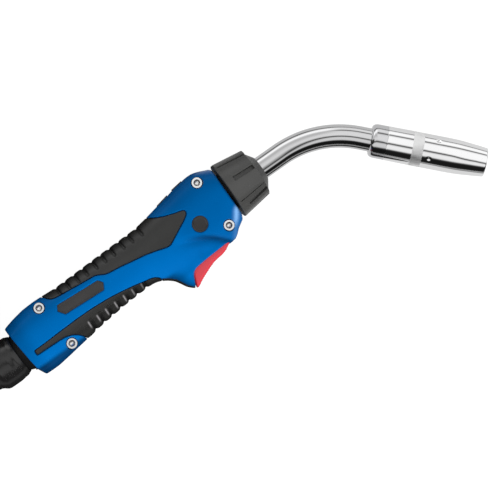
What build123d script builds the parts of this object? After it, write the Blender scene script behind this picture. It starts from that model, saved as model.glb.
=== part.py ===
from build123d import *
import math
import os

os.makedirs("parts", exist_ok=True)

# ---------------------------------------------------------------------------
# MIG welding torch, lying on its left side.
# Working frame (mm): X along the handle and union nut towards the nozzle,
# Y towards the back of the handle (away from the trigger), Z up, with the
# parting plane of the handle shells at Z = 0 and X = 0 at the rear plane of
# the union nut.  Every piece is moved once, at export, into the part frame.
# ---------------------------------------------------------------------------

# driving dimensions
HANDLE_REAR_X = -199.8
HANDLE_FRONT_X = -1.8
WALL = 3.2                    # shell wall
INLAY = 1.6                   # depth of the grip inlays
PLATE = 0.7                   # depth of the bare label and emblem plates
SECTION_P = 2.4               # exponent of the handle's oval section

NUT_REAR_R, NUT_FRONT_R, NUT_X0, NUT_X1 = 23.1, 18.9, 0.2, 25.0
NUT_MOUTH_R = 9.4

NECK_R, NECK_BEND_R, NECK_BEND_DEG = 9.0, 80.0, 46.07
NECK_STRAIGHT_X = 48.2        # where the bend starts
NECK_END_STRAIGHT = 8.7

NOZZLE_R, NOZZLE_LEN = 13.2, 89.8
NOZZLE_MOUTH_R = 8.0
TIP_BORE_R = 0.6
TIP_END_S = 79.5              # contact tip stands back from the mouth

BALL_X, BALL_Y = -192.0, -9.5 # centre of the swivel ball
BALL_R = 17.0
DROOP = 7.0                   # degrees the hose hangs at the ball at rest

HOSE_R = 12.0
COIL_R = 120.0                # middle of the turns
CONN_R = 21.5                 # ring nut of the connector

FLOOR_Z = -23.1               # the bench under the torch, in the working frame

# origin of the part frame in the working frame: bottom centre of the torch
ORIGIN = (-13.03, -37.79, FLOOR_Z)


def interp(x, table):
    if x <= table[0][0]:
        return table[0][1]
    for (x0, v0), (x1, v1) in zip(table, table[1:]):
        if x <= x1:
            return v0 + (v1 - v0) * (x - x0) / (x1 - x0)
    return table[-1][1]


# upper and lower edge of the handle in side view, and its half width
TOP = [(-199.8, 12.6), (-197.5, 13.4), (-195, 14), (-190, 15.2), (-180, 16.9), (-170, 17.3),
       (-160, 16.8), (-150, 16.2), (-130, 16.6), (-110, 17.2), (-90, 17.6), (-75, 17.8),
       (-65, 18.8), (-60, 19.5), (-50, 22.3), (-40, 24.3), (-35, 25.5), (-30, 26.4),
       (-20, 27.2), (-15, 26.9), (-10, 25.3), (-5, 23.0), (-1.8, 21.6)]
BOT = [(-199.8, -32.8), (-197.5, -33.3), (-193, -33.8), (-185, -34), (-180, -33.8), (-170, -32.5), (-160, -31.0),
       (-150, -29.6), (-140, -28.0), (-130, -27.0), (-115, -25.4), (-100, -24.6), (-90, -24.2),
       (-84, -24.6), (-76, -27.2), (-66, -30.4), (-56, -32.2), (-45, -32.2), (-30, -32.2), (-22, -33.1),
       (-19, -33.1), (-15, -30.8), (-10, -27.5), (-5, -24.0), (-1.8, -21.9)]
HALF = [(-199.8, 20.6), (-196, 21.6), (-188, 22.3), (-180, 22.4), (-168, 21.8), (-150, 19.8), (-135, 18.8),
        (-120, 18.3), (-90, 18.3), (-70, 18.9), (-50, 20.3), (-30, 21.6), (-15, 22.0), (-1.8, 21.6)]


def section_values(x, inset):
    t, b, w = interp(x, TOP), interp(x, BOT), interp(x, HALF)
    return (t + b) / 2, (t - b) / 2 - inset, w - inset


def surface_z(x, y, inset=0.0):
    yc, h, w = section_values(x, inset)
    q = min(1.0, abs(y - yc) / h)
    return w * (1 - q ** SECTION_P) ** (1 / SECTION_P)


def half_section(x, inset):
    yc, h, w = section_values(x, inset)
    pts = []
    n = 12
    for i in range(n + 1):
        a = math.radians(-90 + 180 * i / n)
        s, c = math.sin(a), max(0.0, math.cos(a))
        y = yc + h * math.copysign(abs(s) ** (2 / SECTION_P), s)
        z = w * c ** (2 / SECTION_P)
        pts.append((x, y, z))
    pts[0] = (x, yc - h, 0)
    pts[-1] = (x, yc + h, 0)
    curve = Spline(*pts, tangents=[(0, 0, 1), (0, 0, -1)])
    base = Line(pts[-1], pts[0])
    return Face(Wire([curve, base]))


def half_loft(xs, inset):
    return loft([half_section(x, inset) for x in xs], ruled=True)


STATIONS = [-199.8, -196, -190, -180, -168, -156, -143, -130, -115, -100, -88, -80, -72, -64,
            -56, -48, -40, -32, -24, -19, -15, -10, -5, -1.8]


def stations(x0, x1):
    return [x0] + [x for x in STATIONS if x0 + 1.5 < x < x1 - 1.5] + [x1]


def prism(points, z0, z1):
    f = Face(Wire(Polyline(*[(x, y, z0) for x, y in points], close=True).edges()))
    return extrude(f, amount=z1 - z0, dir=(0, 0, 1))


def rod(p0, p1, r):
    a, b = Vector(*p0), Vector(*p1)
    return extrude(Plane(origin=a, z_dir=(b - a)) * Circle(r), amount=(b - a).length)


def turned(profile, origin, axis):
    """A solid of revolution. profile: (distance along the axis, radius) points."""
    pts = [(r, s) for s, r in profile]
    f = Face(Wire(Polyline(*[(r, 0, s) for r, s in pts], close=True).edges()))
    body = revolve(f, Axis.Z, 360)
    return Plane(origin=origin, z_dir=axis).location * body


def clean(shape):
    """One compound or solid without stray shells."""
    sol = [s for s in shape.solids() if s.volume > 0.5]
    return sol[0] if len(sol) == 1 else Compound(children=sol)


made = {}


def piece(name, shape):
    made[name] = shape


# ---------------------------------------------------------------------------
# handle shells and inlays
# ---------------------------------------------------------------------------
outer = half_loft(stations(-199.8, -1.8), 0.0)
inlay_inner = half_loft(stations(-199.8, -1.8), INLAY)
plate_inner = half_loft(stations(-199.8, -1.8), PLATE)
cavity = half_loft(stations(-178.0, -6.5), WALL)

# the rear edge runs down slightly slanted
REAR_EDGE = [(-199.8, 40), (-199.8, 12), (-199.5, 0), (-198.5, -12), (-197.5, -20), (-196.5, -25.5),
             (-194.5, -30), (-193, -33.8), (-190, -60), (10, -60), (10, 40)]
rear_trim = prism(REAR_EDGE, -1, 40)
outer = outer & rear_trim
inlay_inner = inlay_inner & rear_trim
plate_inner = plate_inner & rear_trim

TOP_GRIP = [(-162.9, 30), (-163, 16.2), (-160.3, 12), (-158.3, 10), (-155.4, 8.8), (-150.5, 8.1), (-140.7, 7.1), (-130.9, 6.1),
            (-121, 5.2), (-118.6, 4.2), (-114.2, 1.7), (-111.2, 0.8), (-101.4, -0.4), (-91.6, -2.2), (-81.7, -3.8),
            (-71.9, -6.3), (-66.9, -7.9), (-64, -8.8), (-61, -8.9), (-58.1, -7.6), (-52.2, -4.6), (-47.3, -2.1), (-42.4, 0.3),
            (-38.4, 2.8), (-36.7, 5.3), (-37.4, 7.3), (-39.3, 8.2), (-44.2, 9.5), (-52, 12.2), (-56.7, 14.5), (-61.3, 17.4),
            (-63, 18.8), (-62.8, 30)]
LOW_GRIP = [(-190.7, -14.2), (-180, -14), (-170.2, -13.6), (-150.6, -13), (-140.8, -13), (-130.9, -13.4),
            (-121, -14.1), (-111.2, -15.5), (-101.3, -17.2), (-91.3, -19.4), (-86.5, -20.4), (-80.3, -22), (-76.8, -24.9),
            (-76.6, -40), (-152, -40), (-152, -30), (-153.8, -26.8), (-156.4, -23.9), (-160.4, -21.3), (-165.3, -19.8),
            (-170.2, -19.4), (-180, -19), (-190.7, -18.8)]
LABEL = [(-159.4, -0.4), (-156.9, 3.9), (-121.1, 1.7), (-118.1, -2.2), (-121.1, -7.5), (-155.5, -5.8)]

top_grip_prism = prism(TOP_GRIP, 0, 40)
low_grip_prism = prism(LOW_GRIP, 0, 40)
label_prism = prism(LABEL, 5, 40)
emblem_prism = rod((-33.8, -8.4, 5), (-33.8, -8.4, 40), 6.5)

skin_inlay = outer - inlay_inner
skin_plate = outer - plate_inner
top_grip = skin_inlay & top_grip_prism
low_grip = skin_inlay & low_grip_prism
label_plate = skin_plate & label_prism
emblem_disc = skin_plate & emblem_prism

SCREWS = [(-169.0, 9.8), (-164.0, -26.1), (-17.3, 18.5), (-16.0, -21.7)]
PIVOT = (-22.0, -28.0)

# the guard fin behind the trigger, one half
FIN = [(-92, -18), (-90, -24.2), (-85, -24.1), (-80, -25.3), (-75, -28.3), (-72, -31), (-70, -33.5), (-68, -37.5), (-66, -41),
       (-64, -43.5), (-62, -45.2), (-60, -45.9), (-59, -43), (-58.5, -39), (-57.5, -35.5), (-56, -33.5),
       (-54, -32.2), (-48, -31), (-48, -18)]
fin_half = prism(FIN, 0, 10.5)
fin_edge = fin_half.edges().filter_by(Plane.XY).group_by(Axis.Z)[-1]
try:
    fin_half = chamfer([e for e in fin_edge if e.center().Y < -23], 2.2)
except Exception:
    print("fin edge left square")

shell = outer + fin_half
shell = shell - cavity
# rear: spherical seat for the ball and a flare that lets the boot tilt
shell = shell - (Pos(BALL_X, BALL_Y, 0) * Sphere(BALL_R + 1.1))
shell = shell - turned([(0, 0), (0, 20.9), (4.9, 17.2), (4.9, 0)], (-201.6, BALL_Y, 0), (1, 0, 0))
shell = shell - rod((-186, BALL_Y, 0), (-176, BALL_Y, 0), 13.6)
shell = shell - top_grip - low_grip - label_plate - emblem_disc
# front bulkhead hole for the central block
shell = shell - rod((-12, 0, 0), (2, 0, 0), 13.5)
# slot for the trigger, rounded about its pivot
slot = (rod((PIVOT[0], PIVOT[1], 0), (PIVOT[0], PIVOT[1], 7.5), 40.6)
        & (Pos(-41.0, -36.0, 3.75) * Box(46.5, 32.0, 7.5)))
slot = slot & prism([(-70, -60), (-70, -22), (-17.2, -22), (-17.2, -60)], 0, 7.5)
shell = shell - slot

# saddles that clamp the central block, gland nut side and cable
for x0, x1, r, yc in ((-34.0, -30.0, 12.0, 0.0), (-110.0, -106.0, 11.3, -1.6)):
    web = half_loft([x0, x1], 1.0) - rod((x0 - 1, yc, 0), (x1 + 1, yc, 0), r)
    web = web - (Pos((x0 + x1) / 2, -30, 3.7) * Box(10, 26, 7.4)) - (Pos((x0 + x1) / 2, -8.6, 14) * Box(10, 9.4, 5.5))
    shell = shell + (web & half_loft([x0, x1], WALL - 0.4))

# pillars for the pivot pin
shell = shell + ((rod((PIVOT[0], PIVOT[1], 7.5), (PIVOT[0], PIVOT[1], 13), 3.4)) & half_loft(stations(-40, -10), 0.8))
shell = shell - rod((PIVOT[0], PIVOT[1], 0), (PIVOT[0], PIVOT[1], 10.5), 1.5)

right = shell
left = shell                  # built on the upper side, mirrored last

# screw pillars, head seats and nut pockets
screw_list, nut_list = [], []
inside_half = half_loft(stations(-190, -3), 0.9)
for x, y in SCREWS:
    zs = surface_z(x, y)
    head_top = zs - 1.6
    seat = head_top - 3.6
    pillar = rod((x, y, 0), (x, y, 30), 4.3) + rod((x, y, seat - 2.5), (x, y, 30), 5.9)
    pillar = pillar & inside_half
    hole = rod((x, y, -1), (x, y, 30), 2.15) + rod((x, y, seat), (x, y, 40), 4.55)
    right = right + pillar
    right = right - hole
    nut_floor = -(zs - 1.6 - 3.4)
    pocket = extrude(Plane(origin=(x, y, -nut_floor), z_dir=(0, 0, 1)) * RegularPolygon(3.55, 6, major_radius=False), amount=30)
    left = left + pillar
    left = left - rod((x, y, -1), (x, y, 40), 2.15) - pocket
    head = rod((x, y, seat), (x, y, head_top), 4.2)
    head = head - extrude(Plane(origin=(x, y, head_top - 2.2), z_dir=(0, 0, 1)) * RegularPolygon(1.75, 6, major_radius=False), amount=5)
    nut = extrude(Plane(origin=(x, y, nut_floor), z_dir=(0, 0, -1)) * RegularPolygon(3.45, 6, major_radius=False), amount=3.2)
    nut = nut - rod((x, y, 5), (x, y, -40), 2.05)
    screw_list.append(head + rod((x, y, nut_floor - 3.0), (x, y, seat), 2.0))
    nut_list.append(nut)

piece("right_shell", clean(right))
piece("left_shell", clean(left))
for nm, sh in (("top_grip", top_grip), ("lower_grip", low_grip), ("label_plate", label_plate), ("emblem_disc", emblem_disc)):
    piece("right_" + nm, clean(sh))
    piece("left_" + nm, clean(mirror(sh, about=Plane.XY)))
piece("handle_screws", Compound(children=screw_list))
piece("handle_nuts", Compound(children=nut_list))

# stepped insert along the back edge, split by the parting plane
insert = []
for x0, x1 in ((-51.0, -40.5), (-35.0, -25.5)):
    ya, yb = interp(x0, TOP), interp(x1, TOP)
    insert.append(prism([(x0, ya - 2.2), (x1, yb - 2.2), (x1, yb + 0.2), (x0, ya + 0.2)], -3.2, 3.2))
for block_ in insert:
    right = right - block_
    left = left - block_
made["right_shell"] = clean(right)
made["left_shell"] = clean(mirror(clean(left), about=Plane.XY))
piece("spine_insert", Compound(children=insert))

# ---------------------------------------------------------------------------
# trigger group
# ---------------------------------------------------------------------------
TRIGGER = [(-58.2, -44.4), (-55, -42.3), (-50, -40.3), (-45, -38.8), (-40, -37.5), (-35, -36.2), (-30, -35.3),
           (-25, -34.2), (-21.5, -32.6), (-19.2, -30.6), (-18.4, -28.0), (-19.4, -25.4), (-22.0, -24.4), (-25.0, -25.4),
           (-28.0, -27.8), (-40, -28.2), (-50, -28.8), (-56.2, -30.2), (-57.2, -34), (-58.4, -39), (-58.8, -42.4)]
trig = prism(TRIGGER, -7.0, 7.0)
try:
    trig = fillet([e for e in trig.edges().filter_by(Plane.XY) if e.center().Y < -31.5], 1.2)
except Exception:
    print("trigger edge left square")
trig = trig - rod((PIVOT[0], PIVOT[1], -10), (PIVOT[0], PIVOT[1], 10), 1.55)
# pocket for the return spring around the pivot
trig = trig - (rod((PIVOT[0], PIVOT[1], -2.6), (PIVOT[0], PIVOT[1], 2.6), 3.5))
trig = trig - (Pos(-27.5, -25.4, 0) * Box(9.0, 5.4, 5.2))
piece("trigger", clean(trig))
piece("trigger_pin", rod((PIVOT[0], PIVOT[1], -10.5), (PIVOT[0], PIVOT[1], 10.5), 1.5))
spring = rod((PIVOT[0], PIVOT[1], -2.0), (PIVOT[0], PIVOT[1], 2.0), 2.7) - rod((PIVOT[0], PIVOT[1], -3), (PIVOT[0], PIVOT[1], 3), 1.9)
spring = spring + (Pos(-24.6, -25.7, 0) * Box(5.0, 0.8, 2.4))
piece("trigger_spring", clean(spring))

SWITCH = (-36.0, -22.6)       # centre of the microswitch
PLUNGER_X = -33.0
switch = Pos(SWITCH[0], SWITCH[1], 0) * Box(17.0, 7.0, 6.4)
switch = switch - (Pos(PLUNGER_X, -24.6, 0) * Box(3.2, 4.6, 2.2))
switch = switch - rod((-42.2, -22.6, -5), (-42.2, -22.6, 5), 1.1) - rod((-30.0, -21.4, -5), (-30.0, -21.4, 5), 1.1)
piece("microswitch_body", clean(switch))
piece("microswitch_plunger", Pos(PLUNGER_X, -25.8, 0) * Box(3.0, 3.2, 2.0))

# two control leads from the switch to the hose
leads = []
for dz in (0.0, 2.4):
    pts = [(-44.6, -22.0, -1.6 + dz), (-56, -21.0, -4.5 + dz * 0.5), (-72, -14.5, -12.4 + dz * 0.4), (-92, -9.3, -12.8), (-120, -9.3, -12.8), (-150, -10.3, -13.6), (-174, -12.0, -13.6)]
    pts = [(x, y - (0 if dz == 0 else -2.6) * (i > 1), z) for i, (x, y, z) in enumerate(pts)]
    runs = [math.dist(a, b) for a, b in zip(pts, pts[1:])]
    radii = []
    for i in range(1, len(pts) - 1):
        a = Vector(*pts[i]) - Vector(*pts[i - 1])
        b = Vector(*pts[i + 1]) - Vector(*pts[i])
        turn = math.radians(a.get_angle(b))
        radii.append(0.45 * min(runs[i - 1], runs[i]) / math.tan(turn / 2))
    path = FilletPolyline(*pts, radius=radii)
    start = Plane(origin=path @ 0, z_dir=path % 0)
    leads.append(sweep(start * Circle(1.0), path=path))
piece("control_leads", Compound(children=leads))

# ---------------------------------------------------------------------------
# central block, gland nut, inner cable
# ---------------------------------------------------------------------------
block = turned([(0, 0), (0, 11.0), (28.0, 11.0), (28.0, 12.0), (48, 12.0), (48, 13.5), (58.4, 13.5), (58.4, 15.0),
                (73.5, 15.0), (73.5, 0)], (-60, 0, 0), (1, 0, 0))
block = block - turned([(0, 0), (0, 4.0), (39.4, 4.0), (39.4, 9.05), (80, 9.05), (80, 0)], (-61, 0, 0), (1, 0, 0))
piece("central_block", clean(block))
gland = extrude(Plane(origin=(-76, 0, 0), z_dir=(1, 0, 0)) * RegularPolygon(12.0, 6, major_radius=False), amount=16)
gland = gland - rod((-80, 0, 0), (-50, 0, 0), 4.0)
piece("cable_gland_nut", clean(gland))
cable_pts = [(-175.0, BALL_Y, 0), (-140, BALL_Y, 0), (-103, 0, 0), (-76, 0, 0)]


def radii_of(pts):
    runs = [math.dist(a, b) for a, b in zip(pts, pts[1:])]
    out = []
    for i in range(1, len(pts) - 1):
        a = Vector(*pts[i]) - Vector(*pts[i - 1])
        b = Vector(*pts[i + 1]) - Vector(*pts[i])
        turn = math.radians(a.get_angle(b))
        out.append(0.45 * min(runs[i - 1], runs[i]) / math.tan(turn / 2))
    return out


path = FilletPolyline(*cable_pts, radius=radii_of(cable_pts))
start = Plane(origin=path @ 0, z_dir=path % 0)
cable = sweep(start * Circle(10.5), path=path) - sweep(start * Circle(3.0), path=path)
piece("inner_cable", clean(cable))

# ---------------------------------------------------------------------------
# union nut
# ---------------------------------------------------------------------------
nut = turned([(0, 15.1), (0, NUT_REAR_R - 0.6), (0.6, NUT_REAR_R), (NUT_X1 - NUT_X0, NUT_FRONT_R), (26.2, 16.6), (29.8, 10.0),
              (29.8, NUT_MOUTH_R), (21.4, NUT_MOUTH_R), (21.4, 14.45), (14.4, 14.45), (14.4, 15.1)], (NUT_X0, 0, 0), (1, 0, 0))


def nut_wedge(a0, a1, x0, x1, r0, r1):
    """A slanting bar on the nut between two angles about X; r0 at x0 and r1 at x1 are its outer radii."""
    pts = []
    for k in range(7):
        a = math.radians(a0 + (a1 - a0) * k / 6)
        pts.append(a)
    def face(x, r, rin):
        ring = [(x, r * math.sin(a), r * math.cos(a)) for a in pts]
        ring += [(x, rin * math.sin(a), rin * math.cos(a)) for a in reversed(pts)]
        return Face(Wire(Polyline(*ring, close=True).edges()))
    return loft([face(x0, r0, 15.6), face(x1, r1, 15.6)], ruled=True)


for k in range(4):
    a = 58 + 90 * k
    nut = nut + nut_wedge(a, a + 21, 1.0, NUT_X1 - 0.2, NUT_REAR_R + 0.4, NUT_FRONT_R + 0.95)
for a in (13, -52, -117, 178, 113):
    cut = nut_wedge(a - 5.0, a + 5.0, 8.0, 27.5, NUT_REAR_R + 3, NUT_FRONT_R + 4)
    keep = turned([(0, 0), (0, 20.6), (20.5, 17.4), (20.5, 0)], (7.0, 0, 0), (1, 0, 0))
    nut = nut - (cut - keep)
piece("union_nut", clean(nut))

# ---------------------------------------------------------------------------
# neck: swept about the bend
# ---------------------------------------------------------------------------
bend = math.radians(NECK_BEND_DEG)
AXIS_D = Vector(math.cos(bend), -math.sin(bend), 0)
neck_end = Vector(NECK_STRAIGHT_X + NECK_BEND_R * math.sin(bend), -NECK_BEND_R + NECK_BEND_R * math.cos(bend), 0) + AXIS_D * NECK_END_STRAIGHT
NOZ0 = neck_end               # s = 0 on the nozzle axis


def neck_path(x0, extra=0.0):
    bend_end = neck_end - AXIS_D * NECK_END_STRAIGHT
    a = Line((x0, 0, 0), (NECK_STRAIGHT_X, 0, 0))
    b = CenterArc((NECK_STRAIGHT_X, -NECK_BEND_R, 0), NECK_BEND_R, 90, -NECK_BEND_DEG)
    last = neck_end + AXIS_D * extra
    c = Line((bend_end.X, bend_end.Y, 0), (last.X, last.Y, 0))
    return Wire([a, b, c])


def neck_sweep(x0, r, extra=0.0):
    w = neck_path(x0, extra)
    return sweep(Plane(origin=(x0, 0, 0), z_dir=(1, 0, 0)) * Circle(r), path=w)


def neck_ring(x0, ro, ri, extra=0.0):
    return neck_sweep(x0, ro, extra) - neck_sweep(x0, ri, extra)


def on_nozzle(profile):
    return turned(profile, (NOZ0.X, NOZ0.Y, 0), (AXIS_D.X, AXIS_D.Y, 0))


piece("neck_tube", clean(neck_ring(20.6, NECK_R, 7.6)))
piece("neck_insulation", clean(neck_ring(20.6, 7.6, 6.4)))
piece("neck_core", clean(neck_ring(20.6, 6.4, 3.4, 12.0)))
flange = turned([(0, 3.4), (0, 9.0), (6.0, 9.0), (6.0, 8.0), (8.0, 8.0), (8.0, 9.0), (12.0, 9.0), (12.0, 8.0), (14.0, 8.0), (14.0, 9.0),
                 (32.4, 9.0), (32.4, 14.3), (38.8, 14.3), (38.8, 3.4)], (-18.2, 0, 0), (1, 0, 0))
piece("neck_flange", clean(flange))
orings = []
for x in (-11.2, -5.2):
    orings.append(Plane(origin=(x, 0, 0), z_dir=(1, 0, 0)).location * Torus(8.53, 0.48))
piece("neck_o_rings", Compound(children=orings))
piece("wire_liner", clean(neck_ring(-58.0, 2.1, 1.0, 26.0)))

# nozzle end
piece("neck_collar", clean(on_nozzle([(-0.6, NECK_R + 0.02), (-0.6, 9.9), (0.6, 11.1), (2.2, 12.2), (4.0, 12.75), (6.0, 12.9), (11.3, 12.9),
                                      (11.3, 6.4), (3.0, 6.4), (3.0, NECK_R + 0.02)])
                              ))
piece("gas_diffuser", clean(on_nozzle([(12.0, 0), (12.0, 7.6), (30.0, 7.6), (33.0, 6.2), (46.0, 6.2), (46.0, 0)])
                            - on_nozzle([(11, 0), (11, 6.4), (12.0, 6.4), (12.0, 3.4), (27, 3.4), (27, 2.4), (34.0, 2.4), (34.0, 4.0), (47, 4.0), (47, 0)])))
holes = []
perp = Vector(math.sin(bend), math.cos(bend), 0)
for k in range(6):
    a = math.radians(60 * k)
    d = perp * math.cos(a) + Vector(0, 0, 1) * math.sin(a)
    p = NOZ0 + AXIS_D * 22.0
    q = p + d * 9.0
    holes.append(rod((p.X, p.Y, p.Z), (q.X, q.Y, q.Z), 1.0))
diff = made["gas_diffuser"]
for h in holes:
    diff = diff - h
made["gas_diffuser"] = clean(diff)
piece("contact_tip", clean(on_nozzle([(34.2, TIP_BORE_R), (34.2, 4.0), (46.0, 4.0), (46.0, 4.9), (72.0, 4.9), (TIP_END_S, 3.0), (TIP_END_S, TIP_BORE_R)])))
piece("nozzle_insulator", clean(on_nozzle([(11.3, 7.6), (11.3, 10.6), (30.0, 10.6), (30.0, 10.0), (31.8, 10.0), (31.8, 10.6), (36.0, 10.6), (36.0, 9.0), (30.0, 7.6)])
                                - on_nozzle([(15.5, 0), (15.5, 8.4), (28.5, 8.4), (28.5, 0)])))
piece("nozzle_spring", clean(on_nozzle([(30.2, 10.0), (30.2, 10.62), (31.6, 10.62), (31.6, 10.0)])
                             - (Plane(origin=(NOZ0.X, NOZ0.Y, 0), z_dir=(AXIS_D.X, AXIS_D.Y, 0)).location * (Pos(10.3, 0, 31) * Box(3, 3, 3)))))
nozzle = on_nozzle([(11.6, 10.66), (11.6, 12.6), (12.0, 13.0), (30.0, 13.2), (65.0, 13.2), (70, 13.05), (75, 12.7), (79, 12.3), (82, 11.9), (89.0, 11.2), (NOZZLE_LEN, 10.5),
                    (NOZZLE_LEN, NOZZLE_MOUTH_R), (81.8, NOZZLE_MOUTH_R), (69.8, 10.66)])
piece("gas_nozzle", clean(nozzle))

# ---------------------------------------------------------------------------
# ball joint.  The pieces of the hose package are made on the line of the
# handle's rear opening and then tilted down at the ball by DROOP.
# ---------------------------------------------------------------------------
def tilted(shape):
    turn_about = Axis((BALL_X, BALL_Y, 0), (0, 1, 0))
    return shape.rotate(turn_about, -DROOP)


def hose_point(back, dy=0.0):
    """A point on the hose package's axis, back mm behind the ball's centre."""
    c, s = math.cos(math.radians(DROOP)), math.sin(math.radians(DROOP))
    return (BALL_X - back * c, BALL_Y + dy, -back * s)


seat = Pos(BALL_X, BALL_Y, 0) * (Sphere(BALL_R + 1.02) - Sphere(BALL_R + 0.06))
seat = seat & (Pos(BALL_X + 0.6, BALL_Y, 0) * Box(11.0, 60, 60))
piece("ball_seat_ring", clean(seat))

ball = Pos(BALL_X, BALL_Y, 0) * Sphere(BALL_R)
ball = ball & (Pos(BALL_X + 0.5, BALL_Y, 0) * Box(21.0, 60, 60))
ball = ball - rod((BALL_X - 20, BALL_Y, 0), (BALL_X + 20, BALL_Y, 0), 10.55)
piece("swivel_ball", clean(tilted(ball)))

sleeve = turned([(-13.0, 6.0), (-13.0, 10.5), (10.5, 10.5), (10.5, 12.2), (14.4, 12.2), (14.4, 6.0)], (BALL_X, BALL_Y, 0), (-1, 0, 0))
piece("ball_sleeve", clean(tilted(sleeve)))

BOOT = [(10.3, 12.3), (10.3, 15.0), (11.0, 15.8), (14.6, 17.2), (16.0, 17.4), (35.0, 17.2), (40.0, 15.4), (45.0, 14.0), (50.0, 13.3), (50.0, HOSE_R),
        (40.0, HOSE_R), (40.0, 6.0), (20.0, 6.0), (20.0, 12.3)]
boot = turned(BOOT, (BALL_X, BALL_Y, 0), (-1, 0, 0))
piece("cable_boot", clean(tilted(boot)))
clamp = turned([(15.0, 6.0), (15.0, 12.2), (20.0, 12.2), (20.0, 6.0)], (BALL_X, BALL_Y, 0), (-1, 0, 0))
piece("hose_clamp", clean(tilted(clamp)))

# ---------------------------------------------------------------------------
# hose and coil.  The hose leaves the boot, comes down to the bench and runs
# into a four-turn coil, two turns beside each other and two on top.
# ---------------------------------------------------------------------------
z_hose = FLOOR_Z + HOSE_R
c7, s7 = math.cos(math.radians(DROOP)), math.sin(math.radians(DROOP))
p_in = hose_point(40.0)
back_to_floor = (-z_hose) / s7
p_low = (BALL_X - back_to_floor * c7, BALL_Y, z_hose)
COIL_C = (-326.0, BALL_Y + COIL_R + HOSE_R)
p_end = (COIL_C[0], BALL_Y, z_hose)
hose_pts = [p_in, p_low, p_end]
hose_radii = radii_of(hose_pts)
print("hose runs", [round(math.dist(a, b), 1) for a, b in zip(hose_pts, hose_pts[1:])], "radii", [round(r, 1) for r in hose_radii])
path = FilletPolyline(*hose_pts, radius=hose_radii)
start = Plane(origin=path @ 0, z_dir=path % 0)
hose = sweep(start * Circle(HOSE_R), path=path)
print("hose volume", round(hose.volume, 1), "section x length", round(math.pi * HOSE_R ** 2 * path.length, 1), "lowest z", round(hose.bounding_box().min.Z - FLOOR_Z, 3))
piece("hose_tube", clean(hose))

R0, R1 = COIL_R - 2 * HOSE_R, COIL_R + 2 * HOSE_R
RM = COIL_R
Z0 = FLOOR_Z
ZM, Z2 = Z0 + 2 * HOSE_R, Z0 + 4 * HOSE_R


def ring_block(ri, ro, z0, z1, c=4.0):
    f = Face(Wire(Polyline((ri + c, 0, z0), (ro - c, 0, z0), (ro, 0, z0 + c), (ro, 0, z1 - c), (ro - c, 0, z1), (ri + c, 0, z1),
                           (ri, 0, z1 - c), (ri, 0, z0 + c), close=True).edges()))
    return Pos(COIL_C[0], COIL_C[1], 0) * revolve(f, Axis.Z, 360)


coil = ring_block(R0, R1, Z0, ZM + 4, 4.0) - (Pos(COIL_C[0], COIL_C[1], ZM + 20) * Box(400, 400, 40))
coil = coil + (ring_block(R0, RM, Z0 + 12, Z2, 4.0))
upper = ring_block(R0, R1, Z0 + 12, Z2, 4.0)
coil = coil + (upper & (Pos(COIL_C[0] - 150 + 6, COIL_C[1], 0) * Box(300, 400, 200)))
upper = upper & (Pos(COIL_C[0] - 150 + 28, COIL_C[1] + 100, 0) * Box(300, 200, 200))
coil = coil + upper

ties = []
for ang in (215, 145):
    a = math.radians(ang)
    loc = Location((COIL_C[0] + COIL_R * math.cos(a), COIL_C[1] + COIL_R * math.sin(a), Z0 + 24.3), (0, 0, ang))
    band = Box(50.4, 9.0, 48.6) - Pos(0, 0, 0) * Box(48.0, 12.0, 47.4)
    ties.append(clean(loc * band))
    coil = coil - loc * band
piece("hose_coil", clean(coil))
piece("coil_ties", Compound(children=ties))

# ---------------------------------------------------------------------------
# central connector on the coil
# ---------------------------------------------------------------------------
CX, CY, CZ = COIL_C[0] + 12.0, COIL_C[1] + COIL_R + HOSE_R + 1.5, Z0 + 2 * HOSE_R + CONN_R + 0.1
CONN_TURN = -10.0             # the connector follows the coil round by this angle


def on_conn(profile):
    return turned(profile, (CX, CY, CZ), (1, 0, 0))


piece("connector_bend_guard", clean(on_conn([(0, 0), (0, 13.2), (20, 15.0), (30, 16.5), (34, 18.4), (38, 18.4), (38, 0)])))
piece("connector_housing", clean(on_conn([(38, 0), (38, 19.4), (41, 20.8), (70, 20.8), (74, 18.6), (74, 0)])))
cblock = on_conn([(74, 0), (74, 16.0), (84, 16.0), (84, 17.4), (86.0, 17.4), (86.0, 16.0), (96.0, 16.0), (96.0, 0)])
cblock = cblock - on_conn([(88, 0), (88, 5.0), (97, 5.0), (97, 0)])
for dy, dz in ((9.5, -6.5), (-9.5, -6.5)):
    cblock = cblock - rod((CX + 88, CY + dy, CZ + dz), (CX + 98, CY + dy, CZ + dz), 2.0)
cblock = cblock - rod((CX + 88, CY, CZ + 10.5), (CX + 98, CY, CZ + 10.5), 2.5)
piece("connector_contact_block", clean(cblock))
ring = on_conn([(75.0, 16.1), (75.0, 21.4), (76.0, CONN_R), (98.0, CONN_R), (99.5, 21.0), (99.5, 17.9), (86.6, 17.9), (86.6, 17.7), (83.2, 17.7), (83.2, 16.1)])
for k in range(12):
    a = math.radians(30 * k)
    ring = ring - rod((CX + 78, CY + 23.6 * math.cos(a), CZ + 23.6 * math.sin(a)), (CX + 101, CY + 23.6 * math.cos(a), CZ + 23.6 * math.sin(a)), 2.4)
piece("connector_ring_nut", clean(ring))
tube = on_conn([(88, 1.6), (88, 5.0), (100.0, 5.0), (100.0, 4.3), (102.0, 4.3), (102.0, 5.0), (111.0, 5.0), (112.0, 4.2), (112.0, 1.6)])
piece("connector_centre_tube", clean(tube))
piece("connector_o_ring", Plane(origin=(CX + 101.0, CY, CZ), z_dir=(1, 0, 0)).location * Torus(4.75, 0.42))
pins = [rod((CX + 88, CY + dy, CZ + dz), (CX + 104, CY + dy, CZ + dz), 2.0) for dy, dz in ((9.5, -6.5), (-9.5, -6.5))]
piece("connector_control_pins", Compound(children=pins))
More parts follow.
